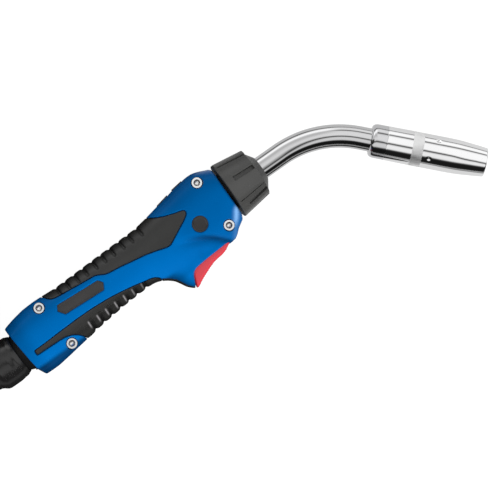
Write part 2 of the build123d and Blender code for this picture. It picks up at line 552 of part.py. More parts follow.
piece("connector_gas_pin", rod((CX + 88, CY, CZ + 10.5), (CX + 102, CY, CZ + 10.5), 2.5) - rod((CX + 90, CY, CZ + 10.5), (CX + 103, CY, CZ + 10.5), 1.2))

for nm in [n for n in made if n.startswith("connector_")]:
    made[nm] = made[nm].rotate(Axis((COIL_C[0], COIL_C[1], 0), (0, 0, 1)), CONN_TURN)

# ---------------------------------------------------------------------------
# export in the part frame
# ---------------------------------------------------------------------------
CORD = {"cable_boot", "hose_clamp", "hose_tube", "hose_coil", "coil_ties"} | {n for n in made if n.startswith("connector_")}
lo, hi = [1e9] * 3, [-1e9] * 3
for name, shape in made.items():
    if name in CORD:
        continue
    bb = shape.bounding_box()
    lo = [min(a, b) for a, b in zip(lo, (bb.min.X, bb.min.Y, bb.min.Z))]
    hi = [max(a, b) for a, b in zip(hi, (bb.max.X, bb.max.Y, bb.max.Z))]
print("torch box", [round(v, 2) for v in lo], [round(v, 2) for v in hi], "origin should be",
      [round((lo[0] + hi[0]) / 2, 2), round((lo[1] + hi[1]) / 2, 2), round(lo[2], 2)])
move = Pos(-ORIGIN[0], -ORIGIN[1], -ORIGIN[2])
for name, shape in made.items():
    export_step(move * shape, "parts/" + name + ".step")
print(len(made), "pieces")
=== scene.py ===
import bpy
import math
import numpy as np
from mathutils import Matrix, Vector


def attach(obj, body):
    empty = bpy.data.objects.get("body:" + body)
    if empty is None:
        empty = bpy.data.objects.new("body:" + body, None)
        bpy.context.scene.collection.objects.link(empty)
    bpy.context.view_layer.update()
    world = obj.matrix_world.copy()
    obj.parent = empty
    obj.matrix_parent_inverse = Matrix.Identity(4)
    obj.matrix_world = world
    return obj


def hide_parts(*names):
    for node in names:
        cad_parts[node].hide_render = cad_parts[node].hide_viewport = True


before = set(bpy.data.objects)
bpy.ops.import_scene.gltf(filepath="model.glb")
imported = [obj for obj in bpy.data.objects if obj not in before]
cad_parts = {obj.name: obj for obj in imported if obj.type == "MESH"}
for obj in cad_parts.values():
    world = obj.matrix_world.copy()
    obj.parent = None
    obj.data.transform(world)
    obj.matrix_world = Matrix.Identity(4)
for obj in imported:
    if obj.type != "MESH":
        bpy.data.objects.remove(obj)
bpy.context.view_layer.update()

# ---------------------------------------------------------------------------
# Working frame of part.py in mm (X along the handle to the nozzle, Y to the
# handle's back, Z up), and the part frame of the pack in metres.
# ---------------------------------------------------------------------------
ORIGIN = np.array([-13.03, -37.79, -23.1])
TURN = math.radians(35.4)          # the view is turned this much about Z
SEC_P = 2.4


def row(p):
    p = np.asarray(p, float)
    return (p - ORIGIN) / 1000.0


# ---------------------------------------------------------------------------
# camera
# ---------------------------------------------------------------------------
RIGHT = Vector((math.cos(TURN), -math.sin(TURN), 0))
UP = Vector((math.sin(TURN), math.cos(TURN), 0))
TILT = math.radians(5.25)
LOOK = Vector((math.sin(TILT), 0, -math.cos(TILT)))
DIST = 2.2
cam_data = bpy.data.cameras.new("camera")
cam_data.sensor_width = 36.0
cam_data.sensor_fit = "HORIZONTAL"
cam_data.angle = 2 * math.atan(0.19013 / DIST)
camera = bpy.data.objects.new("camera", cam_data)
bpy.context.scene.collection.objects.link(camera)
centre = Vector(row((-12.45, -46.1, 0.0)))
cam_up = (UP - LOOK * UP.dot(LOOK)).normalized()
cam_right = LOOK.cross(cam_up).normalized()
camera.matrix_world = Matrix((
    (cam_right.x, cam_up.x, -LOOK.x, 0), (cam_right.y, cam_up.y, -LOOK.y, 0), (cam_right.z, cam_up.z, -LOOK.z, 0), (0, 0, 0, 1)))
camera.location = centre - LOOK * DIST
cam_data.clip_start, cam_data.clip_end = 0.01, 50
bpy.context.scene.camera = camera

# ---------------------------------------------------------------------------
# the hose: a free cord in its coil
# ---------------------------------------------------------------------------
BALL = np.array([-192.0, -9.5, 0.0])
DROOP = math.radians(7.0)
HOSE_R = 12.0
COIL_C = (-326.0, 122.5)
Z_LOW, Z_HIGH = 12.0, 36.0         # heights of the two layers over the floor
CONN = np.array([-291.0, 251.89, 22.5])
CONN_DIR = np.array([0.984808, -0.173648, 0.0])


def hose_point(back):
    return (BALL[0] - back * math.cos(DROOP), BALL[1], -back * math.sin(DROOP))


def smooth01(t):
    t = np.clip(t, 0.0, 1.0)
    return t * t * (3 - 2 * t)


def coil_radius(phi):
    """Radius of the turns at an angle in degrees; the hose comes in at -90 and winds clockwise."""
    r = 132.0 - 24.0 * smooth01((-375.0 - phi) / 75.0)
    r = r + 24.0 * smooth01((-1010.0 - phi) / 105.0)
    return r + 1.5 * smooth01((-1270.0 - phi) / 80.0)


def coil_height(phi):
    z = Z_LOW + 24.0 * smooth01((-690.0 - phi) / 90.0)
    return z + 9.6 * smooth01((-1300.0 - phi) / 46.0)


route = [hose_point(22.0), hose_point(40.0), (BALL[0] - (11.1 / math.sin(DROOP)) * math.cos(DROOP), BALL[1], -11.1),
         (-326.0, BALL[1], -11.1)]
step_deg = 20.0
phi = -90.0 - step_deg
while phi > -1355.0:
    a = math.radians(phi)
    r = coil_radius(phi) / (0.75 + 0.25 * math.cos(math.radians(step_deg)))
    route.append((COIL_C[0] + r * math.cos(a), COIL_C[1] + r * math.sin(a), coil_height(phi) + ORIGIN[2]))
    phi -= step_deg
route += [tuple(CONN + CONN_DIR * d) for d in (-14.0, 2.0, 18.0)]

hose_curve = bpy.data.curves.new("hose", "CURVE")
hose_curve.dimensions = "3D"
spline = hose_curve.splines.new("NURBS")
spline.points.add(len(route) - 1)
for pt, p in zip(spline.points, route):
    q = row(p)
    pt.co = (q[0], q[1], q[2], 1.0)
spline.order_u = 3
spline.use_endpoint_u = True
spline.resolution_u = 10
hose_curve.bevel_depth = HOSE_R / 1000.0
hose_curve.bevel_resolution = 10
hose_curve.use_fill_caps = True
hose = bpy.data.objects.new("hose", hose_curve)
bpy.context.scene.collection.objects.link(hose)

# ---------------------------------------------------------------------------
# mesh helpers
# ---------------------------------------------------------------------------
def link(name, verts, faces, smooth=True, sharp=None):
    """verts in working mm, faces as index lists or an (n, 4) or (n, 3) array."""
    verts = np.asarray(verts, float)
    me = bpy.data.meshes.new(name)
    v = row(verts).astype(np.float32)
    if isinstance(faces, np.ndarray):
        n, k = faces.shape
        me.vertices.add(len(v))
        me.vertices.foreach_set("co", v.ravel())
        me.loops.add(n * k)
        me.loops.foreach_set("vertex_index", faces.astype(np.int32).ravel())
        me.polygons.add(n)
        me.polygons.foreach_set("loop_start", np.arange(0, n * k, k, dtype=np.int32))
        me.update(calc_edges=True)
    else:
        me.from_pydata([tuple(p) for p in v], [], [tuple(f) for f in faces])
    me.validate(clean_customdata=False)
    me.update()
    if smooth:
        me.polygons.foreach_set("use_smooth", np.ones(len(me.polygons), bool))
        if sharp is not None:
            me.set_sharp_from_angle(angle=math.radians(sharp))
    ob = bpy.data.objects.new(name, me)
    bpy.context.scene.collection.objects.link(ob)
    return ob


def rounded(profile, radius=0.3, n=3, closed=True):
    """The profile's corners turned into small arcs."""
    pts = [np.array(p, float) for p in profile]
    out = []
    m = len(pts)
    for i in range(m):
        p = pts[i]
        if not closed and i in (0, m - 1):
            out.append(p)
            continue
        a, b = pts[(i - 1) % m] - p, pts[(i + 1) % m] - p
        la, lb = np.linalg.norm(a), np.linalg.norm(b)
        cosang = float(np.clip(a @ b / max(la * lb, 1e-9), -1, 1))
        if cosang < -0.985:
            out.append(p)
            continue
        d = min(radius, 0.45 * la, 0.45 * lb)
        p0, p1 = p + a / la * d, p + b / lb * d
        for k in range(n + 1):
            t = k / n
            out.append((1 - t) ** 2 * p0 + 2 * t * (1 - t) * p + t * t * p1)
    return [(float(q[0]), float(q[1])) for q in out]


def frame_axes(axis):
    ax = np.array(axis, float)
    ax /= np.linalg.norm(ax)
    up = np.array([0.0, 0.0, 1.0])
    e1 = up - ax * (up @ ax)
    e1 /= np.linalg.norm(e1)
    e2 = np.cross(ax, e1)
    return ax, e1, e2


def lathe_points(profile, seg, origin, axis, push=None):
    """Rings of a closed or open profile (s, r) about an axis; push(s, r, angle) returns an added radius."""
    ax, e1, e2 = frame_axes(axis)
    prof = np.array(profile, float)
    ang = np.linspace(0, 2 * math.pi, seg, endpoint=False)
    s = prof[:, 0][:, None] + 0 * ang[None, :]
    r = prof[:, 1][:, None] + 0 * ang[None, :]
    if push is not None:
        r = r + push(s, r, ang[None, :] + 0 * s)
    P = (np.array(origin, float)[None, None, :] + s[..., None] * ax
         + r[..., None] * (np.cos(ang)[None, :, None] * e1 + np.sin(ang)[None, :, None] * e2))
    return P


def lathe(name, profile, origin, axis, seg=96, closed=True, push=None, sharp=40):
    """A solid of revolution. An open profile starts and ends on the axis."""
    P = lathe_points(profile, seg, origin, axis, push)
    n = len(profile)
    verts = P.reshape(-1, 3)
    rows = n if closed else n - 1
    i = np.arange(rows)[:, None]
    j = np.arange(seg)[None, :]
    a = i * seg + j
    b = i * seg + (j + 1) % seg
    c = ((i + 1) % n) * seg + (j + 1) % seg
    d = ((i + 1) % n) * seg + j
    faces = np.stack([a, d, c, b], -1).reshape(-1, 4)
    area = 0.0
    pr = np.array(profile, float)
    q = np.roll(pr, -1, 0)
    area = float((pr[:, 0] * q[:, 1] - q[:, 0] * pr[:, 1]).sum())
    if area > 0:
        faces = faces[:, ::-1].copy()
    ob = link(name, verts, faces, sharp=sharp)
    if not closed:
        weld(ob)
    return ob


def weld(ob, dist=1e-6):
    import bmesh
    bm = bmesh.new()
    bm.from_mesh(ob.data)
    bmesh.ops.remove_doubles(bm, verts=bm.verts, dist=dist)
    bmesh.ops.dissolve_degenerate(bm, dist=1e-7, edges=bm.edges)
    bm.to_mesh(ob.data)
    bm.free()
    ob.data.update()


def join(name, parts):
    """One mesh from several (verts, faces) pairs, kept as separate shells."""
    vs, fs, base = [], [], 0
    for v, f in parts:
        vs.append(np.asarray(v, float))
        fs += [tuple(int(k) + base for k in face) for face in f]
        base += len(v)
    return link(name, np.concatenate(vs), fs, sharp=40)


# ---------------------------------------------------------------------------
# distance fields and surface nets
# ---------------------------------------------------------------------------
class Grid:
    def __init__(self, x, y, z, h):
        self.h = h
        self.xs = np.arange(x[0], x[1] + h, h, dtype=np.float32)
        self.ys = np.arange(y[0], y[1] + h, h, dtype=np.float32)
        self.zs = np.arange(z[0], z[1] + h, h, dtype=np.float32)
        self.X = self.xs[:, None, None]
        self.Y = self.ys[None, :, None]
        self.Z = self.zs[None, None, :]
        self.X2 = self.xs[:, None]
        self.Y2 = self.ys[None, :]


def smax(a, b, k):
    t = np.maximum(k - np.abs(a - b), 0.0) / k
    return np.maximum(a, b) + t * t * k * 0.25


def smin(a, b, k):
    t = np.maximum(k - np.abs(a - b), 0.0) / k
    return np.minimum(a, b) - t * t * k * 0.25


def ss(a, b, v):
    return smooth01((v - a) / (b - a))


def poly2d(points, g, blur=0.0):
    """Signed distance to a polygon over the grid's x-y plane."""
    P = np.array(points, np.float32)
    px, py = g.X2, g.Y2
    d = np.full((len(g.xs), len(g.ys)), 1e9, np.float32)
    s = np.ones_like(d)
    n = len(P)
    for i in range(n):
        a, b = P[i], P[i - 1]
        e = b - a
        wx, wy = px - a[0], py - a[1]
        t = np.clip((wx * e[0] + wy * e[1]) / max(float(e @ e), 1e-9), 0, 1)
        dx, dy = wx - e[0] * t, wy - e[1] * t
        d = np.minimum(d, dx * dx + dy * dy)
        c1 = py >= a[1]
        c2 = py < b[1]
        c3 = e[0] * wy > e[1] * wx
        flip = (c1 & c2 & c3) | (~c1 & ~c2 & ~c3)
        s = np.where(flip, -s, s)
    d = np.sqrt(d) * s
    if blur > 0:
        d = blur2d(d, blur / g.h)
    return d


def blur2d(a, sigma):
    r = max(1, int(3 * sigma))
    k = np.exp(-0.5 * (np.arange(-r, r + 1) / sigma) ** 2)
    k /= k.sum()
    for ax in (0, 1):
        pad = [(0, 0), (0, 0)]
        pad[ax] = (r, r)
        b = np.pad(a, pad, mode="edge")
        out = np.zeros_like(a)
        for i, w in enumerate(k):
            sl = [slice(None), slice(None)]
            sl[ax] = slice(i, i + a.shape[ax])
            out += np.float32(w) * b[tuple(sl)]
        a = out
    return a


CORNERS = [(0, 0, 0), (1, 0, 0), (0, 1, 0), (1, 1, 0), (0, 0, 1), (1, 0, 1), (0, 1, 1), (1, 1, 1)]
EDGES = [(a, b) for a in range(8) for b in range(a + 1, 8)
         if sum(abs(CORNERS[a][k] - CORNERS[b][k]) for k in range(3)) == 1]


def tri_sample(F, p):
    """Value and gradient of the field at grid-unit points."""
    i = np.floor(p).astype(np.int32)
    for k in range(3):
        i[:, k] = np.clip(i[:, k], 0, F.shape[k] - 2)
    f = (p - i).astype(np.float32)
    c = [F[i[:, 0] + o[0], i[:, 1] + o[1], i[:, 2] + o[2]] for o in CORNERS]
    x, y, z = f[:, 0], f[:, 1], f[:, 2]
    c00, c10 = c[0] * (1 - x) + c[1] * x, c[2] * (1 - x) + c[3] * x
    c01, c11 = c[4] * (1 - x) + c[5] * x, c[6] * (1 - x) + c[7] * x
    v = (c00 * (1 - y) + c10 * y) * (1 - z) + (c01 * (1 - y) + c11 * y) * z
    gx = ((c[1] - c[0]) * (1 - y) + (c[3] - c[2]) * y) * (1 - z) + ((c[5] - c[4]) * (1 - y) + (c[7] - c[6]) * y) * z
    gy = (c10 - c00) * (1 - z) + (c11 - c01) * z
    gz = (c01 * (1 - y) + c11 * y) - (c00 * (1 - y) + c10 * y)
    return v, np.stack([gx, gy, gz], 1)


def nets(F, g, smooth=2):
    """Closed quad mesh of the field's zero surface: (verts in mm, faces)."""
    F = np.ascontiguousarray(F.astype(np.float32))
    F[0], F[-1] = np.maximum(F[0], 1.0), np.maximum(F[-1], 1.0)
    F[:, 0], F[:, -1] = np.maximum(F[:, 0], 1.0), np.maximum(F[:, -1], 1.0)
    F[:, :, 0], F[:, :, -1] = np.maximum(F[:, :, 0], 1.0), np.maximum(F[:, :, -1], 1.0)
    inside = F < 0
    nx, ny, nz = F.shape
    count = np.zeros((nx - 1, ny - 1, nz - 1), np.uint8)
    for o in CORNERS:
        count += inside[o[0]:nx - 1 + o[0], o[1]:ny - 1 + o[1], o[2]:nz - 1 + o[2]]
    mixed = (count > 0) & (count < 8)
    cells = np.argwhere(mixed)
    idx = np.full(mixed.shape, -1, np.int32)
    idx[mixed] = np.arange(len(cells), dtype=np.int32)
    acc = np.zeros((len(cells), 3), np.float32)
    cnt = np.zeros(len(cells), np.float32)
    vals = [F[cells[:, 0] + o[0], cells[:, 1] + o[1], cells[:, 2] + o[2]] for o in CORNERS]
    for a, b in EDGES:
        fa, fb = vals[a], vals[b]
        m = (fa < 0) != (fb < 0)
        t = fa[m] / (fa[m] - fb[m])
        oa, ob = np.array(CORNERS[a], np.float32), np.array(CORNERS[b], np.float32)
        acc[m] += oa + t[:, None] * (ob - oa)
        cnt[m] += 1
    v = cells.astype(np.float32) + acc / cnt[:, None]
    faces = []
    A = inside
    e = np.argwhere(A[:-1, 1:-1, 1:-1] != A[1:, 1:-1, 1:-1])
    i, j, k = e[:, 0], e[:, 1] + 1, e[:, 2] + 1
    q = np.stack([idx[i, j - 1, k - 1], idx[i, j, k - 1], idx[i, j, k], idx[i, j - 1, k]], 1)
    s = A[i, j, k]
    q[~s] = q[~s][:, ::-1]
    faces.append(q)
    e = np.argwhere(A[1:-1, :-1, 1:-1] != A[1:-1, 1:, 1:-1])
    i, j, k = e[:, 0] + 1, e[:, 1], e[:, 2] + 1
    q = np.stack([idx[i - 1, j, k - 1], idx[i - 1, j, k], idx[i, j, k], idx[i, j, k - 1]], 1)
    s = A[i, j, k]
    q[~s] = q[~s][:, ::-1]
    faces.append(q)
    e = np.argwhere(A[1:-1, 1:-1, :-1] != A[1:-1, 1:-1, 1:])
    i, j, k = e[:, 0] + 1, e[:, 1] + 1, e[:, 2]
    q = np.stack([idx[i - 1, j - 1, k], idx[i, j - 1, k], idx[i, j, k], idx[i - 1, j, k]], 1)
    s = A[i, j, k]
    q[~s] = q[~s][:, ::-1]
    faces.append(q)
    faces = np.concatenate(faces)
    ea, eb = faces.ravel(), np.roll(faces, -1, 1).ravel()
    n = len(v)
    deg = np.bincount(ea, minlength=n) + np.bincount(eb, minlength=n)
    for it in range(smooth + 1):
        if it < smooth:
            new = np.empty_like(v)
            for c in range(3):
                sm = np.bincount(ea, v[eb, c], n) + np.bincount(eb, v[ea, c], n)
                new[:, c] = sm / np.maximum(deg, 1)
            v = v + 0.5 * (new - v)
        for _ in range(2):
            val, grad = tri_sample(F, v)
            stepv = val[:, None] * grad / np.maximum((grad * grad).sum(1), 0.02)[:, None]
            ln = np.linalg.norm(stepv, axis=1)
            stepv *= (np.minimum(ln, 0.35) / np.maximum(ln, 1e-9))[:, None]
            v = v - stepv
    out = np.array([g.xs[0], g.ys[0], g.zs[0]], np.float32) + v * g.h
    return out, faces


def mirrored(v, f):
    w = v.copy()
    w[:, 2] *= -1
    return w, f[:, ::-1].copy()


def biggest(v, f, least=60):
    """Drops loose crumbs: only connected shells with at least that many vertices stay."""
    n = len(v)
    parent = np.arange(n)
    ea, eb = f.ravel(), np.roll(f, -1, 1).ravel()
    for _ in range(400):
        m = np.minimum(parent[ea], parent[eb])
        new = parent.copy()
        np.minimum.at(new, ea, m)
        np.minimum.at(new, eb, m)
        new = new[new]
        if (new == parent).all():
            break
        parent = new
    roots, size = np.unique(parent, return_counts=True)
    good = set(roots[size >= least].tolist())
    keep = np.isin(parent, list(good))
    if keep.all():
        return v, f
    remap = np.cumsum(keep) - 1
    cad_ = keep[f].all(1)
    return v[keep], remap[f[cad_]].astype(np.int32)


# ---------------------------------------------------------------------------
# tables of the handle, in working mm
# ---------------------------------------------------------------------------
TOP = [(-199.2, 11.9), (-196.9, 12.7), (-194.4, 13.3), (-189.5, 14.5), (-179.7, 16.2), (-169.8, 16.6), (-159.9, 16.2),
       (-150.0, 15.6), (-130.2, 16.1), (-110.4, 16.7), (-90.5, 17.1), (-75.6, 17.4), (-65.7, 18.9), (-60.7, 19.8),
       (-50.7, 21.8), (-40.7, 23.6), (-35.7, 24.8), (-30.7, 25.7), (-20.8, 27.1), (-15.8, 27.0), (-10.8, 25.4),
       (-5.8, 23.2), (-2.5, 21.8)]
BOT = [(-199.2, -33.0), (-196.9, -33.5), (-192.5, -33.9), (-184.6, -34.1), (-179.7, -33.9), (-169.8, -32.6), (-159.9, -31.1),
       (-150.0, -29.8), (-140.1, -28.2), (-130.2, -27.2), (-115.3, -25.6), (-100.5, -24.8), (-90.5, -24.4), (-84.6, -24.8),
       (-76.6, -27.3), (-66.7, -30.5), (-56.7, -32.3), (-45.7, -32.3), (-30.7, -32.3), (-24.0, -32.8), (-21.3, -33.7),
       (-18.0, -32.8), (-14.0, -30.2), (-10.5, -27.0), (-4.9, -23.8), (-1.5, -21.6)]
HALF = [(-199.8, 20.6), (-196, 21.6), (-188, 22.3), (-180, 22.4), (-168, 21.8), (-150, 19.8), (-135, 18.8),
        (-120, 18.3), (-90, 18.3), (-70, 18.9), (-50, 20.3), (-30, 21.6), (-15, 22.0), (-1.8, 21.6)]
REAR_EDGE = [(12.0, -199.2), (0.5, -198.8), (-8.3, -198.0), (-18.5, -197.1), (-26.0, -196.1), (-30.0, -194.3), (-34.1, -192.4)]
TOP_GRIP = [(-162.9, 30), (-163, 16.2), (-160.3, 12), (-158.3, 10), (-155.4, 8.8), (-150.5, 8.1), (-140.7, 7.1), (-130.9, 6.1),
            (-121, 5.2), (-118.6, 4.2), (-114.2, 1.7), (-111.2, 0.8), (-101.4, -0.4), (-91.6, -2.2), (-81.7, -3.8),
            (-71.9, -6.3), (-66.9, -7.9), (-64, -8.8), (-61, -8.9), (-58.1, -7.6), (-52.2, -4.6), (-47.3, -2.1), (-42.4, 0.3),
            (-38.4, 2.8), (-36.7, 5.3), (-37.4, 7.3), (-39.3, 8.2), (-44.2, 9.5), (-52, 12.2), (-56.7, 14.5), (-61.3, 17.4),
            (-63, 18.8), (-62.8, 30)]
LOW_GRIP = [(-190.7, -14.2), (-180, -14), (-170.2, -13.6), (-150.6, -13), (-140.8, -13), (-130.9, -13.4),
            (-121, -14.1), (-111.2, -15.5), (-101.3, -17.2), (-92.3, -19.2), (-88.8, -19.8), (-84.6, -21.1), (-81.8, -23.2),
            (-80.0, -25.6), (-80.0, -44), (-152, -44), (-152, -30), (-153.8, -26.8), (-156.4, -23.9), (-160.4, -21.3), (-165.3, -19.8),
            (-170.2, -19.4), (-180, -19), (-190.7, -18.8)]
STRIP = [(-80.1, -25.4), (-76.6, -27.7), (-74.0, -29.9), (-71.5, -32.4), (-69.2, -36.6), (-67.1, -40.6), (-64.9, -43.3),
         (-63.0, -44.9), (-61.9, -49), (-80.1, -49)]
LABEL = [(-159.4, -0.4), (-156.9, 3.9), (-121.1, 1.7), (-118.1, -2.2), (-121.1, -7.5), (-155.5, -5.8)]
EMBLEM = (-33.8, -8.4)
FIN = [(-92, -16), (-88, -20.0), (-84, -21.8), (-80.6, -23.4), (-77.2, -26.6), (-74.6, -29.8), (-72.2, -32.7), (-69.8, -36.9),
       (-67.6, -41.0), (-65.2, -43.7), (-63.3, -45.3), (-62.0, -46.1), (-61.4, -44.6), (-60.5, -42.0), (-59.0, -37.9), (-57.7, -34.3),
       (-56.8, -32.2), (-54.8, -31.0), (-50, -29.8), (-48, -29), (-48, -18)]
SKIRT = [(-60, -16), (-60, -33.4), (-56.5, -33.2), (-50, -32.9), (-43, -32.7), (-34, -32.2), (-25.2, -31.7), (-22.8, -32.2),
         (-21.3, -33.5), (-18, -32.5), (-14, -29.9), (-10.5, -26.7), (-4.9, -23.4), (-4.9, -16)]
CREASE = [(-19.4, -36.5), (-25.36, -30.44), (-29.63, -26.13), (-35.31, -21.72), (-40.94, -18.48), (-46.42, -15.73), (-52.17, -13.28),
          (-59.07, -10.52), (-66.0, -8.0)]
SCREWS = [(-169.0, 9.8), (-164.0, -26.1), (-17.3, 18.5), (-16.0, -21.7)]
PIVOT = (-22.0, -28.0)
TRIGGER = [(-61.3, -46.8), (-60.1, -46.3), (-55.9, -44.3), (-52.4, -42.6), (-45.5, -39.8), (-39.9, -37.9), (-35.8, -37.3),
           (-31.6, -36.9), (-27.4, -35.7), (-23.6, -33.4), (-20.6, -31.4), (-18.6, -28.6), (-19.4, -25.4), (-22.0, -24.4), (-25.0, -25.4),
           (-28.0, -27.8), (-40, -28.2), (-50, -28.8), (-57.0, -30.2), (-58.2, -33.8), (-59.6, -37.8), (-60.8, -41.0), (-61.5, -43.6),
           (-61.7, -46.0)]
UPPER_VALLEYS = [-150.0, -141.8, -133.5, -125.3, -116.6, -108.4, -100.2, -91.5, -83.3, -74.6]
LOWER_VALLEYS = [-142.4, -134.2, -126.2, -117.7, -109.4, -101.6, -93.4]


def table(tab, x, sig=1.4):
    t = np.array(tab, float)
    fx = np.arange(t[0, 0] - 12, t[-1, 0] + 12, 0.2)
    v = np.interp(fx, t[:, 0], t[:, 1])
    s0 = (t[1, 1] - t[0, 1]) / (t[1, 0] - t[0, 0])
    s1 = (t[-1, 1] - t[-2, 1]) / (t[-1, 0] - t[-2, 0])
    v = np.where(fx < t[0, 0], t[0, 1] + (fx - t[0, 0]) * s0, v)
    v = np.where(fx > t[-1, 0], t[-1, 1] + (fx - t[-1, 0]) * s1, v)
    r = int(4 * sig / 0.2)
    k = np.exp(-0.5 * (np.arange(-r, r + 1) * 0.2 / sig) ** 2)
    k /= k.sum()
    v = np.convolve(np.pad(v, r, mode="edge"), k, "valid")
    return np.interp(x, fx, v).astype(np.float32)


def crease_distance(g):
    """Distance to the crease line over x-y, positive on the finger side."""
    P = np.array(CREASE, np.float32)
    px, py = g.X2, g.Y2
    d = np.full((len(g.xs), len(g.ys)), 1e9, np.float32)
    for a, b in zip(P[:-1], P[1:]):
        e = b - a
        wx, wy = px - a[0], py - a[1]
        t = np.clip((wx * e[0] + wy * e[1]) / float(e @ e), 0, 1)
        dx, dy = wx - e[0] * t, wy - e[1] * t
        d = np.minimum(d, np.sqrt(dx * dx + dy * dy))
    line_y = np.interp(px, P[::-1, 0], P[::-1, 1])
    return np.where(py < line_y, d, -d)


def outer_field(g):
    """Signed distance, good near the surface, of the whole handle's outside, front and rear ends included."""
    t, b, w = table(TOP, g.xs), table(BOT, g.xs), table(HALF, g.xs, 3.0)
    yc, h = ((t + b) / 2)[:, None, None], ((t - b) / 2)[:, None, None]
    w = w[:, None, None]
    Yn = np.abs(g.Y - yc) / h
    Zn = np.abs(g.Z) / w
    q = (Yn ** SEC_P + Zn ** SEC_P) ** (1 / SEC_P)
    gx, gy, gz = np.gradient(q, g.h)
    d = (q - 1) / np.maximum(np.sqrt(gx * gx + gy * gy + gz * gz), 0.012)
    del gx, gy, gz, Yn, Zn, q
    s = crease_distance(g)
    wide = 7.0
    depth = (4.3 * np.clip((s + wide) / wide, 0, 1) ** 2.4 - 1.5 * ss(0.3, 6.0, s)) * ss(-63.0, -38.0, g.X2) * (1 - 0.35 * ss(-25.0, -18.0, g.X2))
    d = d + depth[:, :, None].astype(np.float32)
    skirt = smax(poly2d(SKIRT, g, 0.5)[:, :, None], np.abs(g.Z) - 10.3, 2.4)
    d = smin(d, skirt, 4.0)
    thick = 10.5 - 1.6 * ss(-34.0, -46.0, g.Y)
    fin = smax(poly2d(FIN, g, 0.5)[:, :, None], np.abs(g.Z) - thick, 4.2)
    d = smin(d, fin, 6.0)
    d = smax(d, (g.X + 1.9 + 1.7 * (g.Z / 22.0) ** 2) + 0 * d, 2.2)
    xr = np.interp(g.ys, [p[0] for p in REAR_EDGE[::-1]], [p[1] for p in REAR_EDGE[::-1]]).astype(np.float32)
    d = smax(d, (xr[None, :, None] - g.X) * 0.98, 1.2)
    return d.astype(np.float32)


def upper_ribs(g):
    """Height over the plain surface of the ribs across the back: a field over x, y and z."""
    v = np.zeros((len(g.xs), len(g.zs)), np.float32)
    for x in UPPER_VALLEYS:
        d = g.xs[:, None] - x - (0.022 + 0.038 * (x + 150.0) / 76.0) * g.zs[None, :]
        v = np.maximum(v, 0.80 * np.exp(-(d / 1.05) ** 2) + 0.20 * np.exp(-(d / 2.4) ** 2))
    crown = (ss(-154.5, -151.0, g.xs) * (1 - ss(-73.0, -70.0, g.xs)))[:, None]
    low = 6.7 + 1.8 * (g.X2 + 150.0) / 76.0
    m = ss(-0.4, 1.8, g.Y2 - low)
    return ((0.12 * crown - 1.08 * v)[:, None, :] * m[:, :, None]).astype(np.float32)


def lower_ribs(g):
    """The lower ribs: a steep wall on the right of each groove, a soft shoulder on its left."""
    v = np.zeros(len(g.xs), np.float32)
    for x in LOWER_VALLEYS:
        d = g.xs - x
        left = np.where(d < 0, 1.15, 1.25)
        far = np.where(d < 0, 2.2, 2.8)
        v = np.maximum(v, 0.78 * np.exp(-(d / left) ** 2) + 0.22 * np.exp(-(d / far) ** 2))
    m = 1 - ss(-20.4, -17.6, g.Y2 - 0.03 * (g.X2 + 118.0))
    return (((0.2 * ss(-151, -148, g.xs) * (1 - ss(-91.0, -87.0, g.xs)) - 1.4 * v)[:, None] * m)[:, :, None]).astype(np.float32)


def surface_z(x, y):
    t, b, w = (float(table(k, np.array([x]), s)[0]) for k, s in ((TOP, 1.4), (BOT, 1.4), (HALF, 3.0)))
    yc, h = (t + b) / 2, (t - b) / 2
    return w * (1 - min(1.0, abs(y - yc) / h) ** SEC_P) ** (1 / SEC_P)


def cyl_z(g, x, y, r):
    return (np.sqrt((g.X2 - x) ** 2 + (g.Y2 - y) ** 2) - r)[:, :, None]


def hex_z(g, x, y, apothem):
    dx, dy = g.X2 - x, g.Y2 - y
    d = np.full(np.broadcast(dx, dy).shape, -1e9, np.float32)
    for k in range(3):
        a = math.radians(30 + 60 * k)
        d = np.maximum(d, np.abs(dx * math.cos(a) + dy * math.sin(a)))
    return (d - apothem)[:, :, None]


# ---------------------------------------------------------------------------
# handle shells, grips, plates
# ---------------------------------------------------------------------------
g = Grid((-201.5, 0.0), (-47.5, 29.5), (-1.2, 24.2), 0.55)
D = outer_field(g)
d_top = poly2d(TOP_GRIP, g, 0.45)[:, :, None]
d_low = poly2d(LOW_GRIP, g, 0.45)[:, :, None]
d_lab = poly2d(LABEL, g, 0.3)[:, :, None]
d_emb = cyl_z(g, EMBLEM[0], EMBLEM[1], 6.5)
d_strip = poly2d(STRIP, g, 0.2)[:, :, None]
shell = np.maximum(D, 0.06 - g.Z)
# hollow inside
hollow = np.maximum(np.maximum(D + 3.6, -178.0 - g.X), g.X + 6.5)
ribs_in = np.minimum(np.abs(g.X + 108.0) - 1.4, np.abs(g.X + 32.0) - 1.6)
axis_r = np.sqrt((g.Y + 0.8) ** 2 + g.Z ** 2)
ribs_in = np.maximum(ribs_in, 12.2 - axis_r)
hollow = np.maximum(hollow, -ribs_in)
for x, y in SCREWS:
    hollow = np.maximum(hollow, -cyl_z(g, x, y, 5.9 if x < -100 or y < 0 else 5.6))
hollow = np.maximum(hollow, -np.maximum(cyl_z(g, PIVOT[0], PIVOT[1], 3.4), 7.5 - g.Z))
shell = np.maximum(shell, -hollow)
# recesses for the grips and plates
shell = np.maximum(shell, -np.maximum(np.minimum(d_top, d_low), -(D + 2.3)))
shell = np.maximum(shell, -np.maximum(d_strip, -(D + 1.3)))
shell = np.maximum(shell, -np.maximum(np.minimum(d_lab, d_emb), -(D + 0.75)))
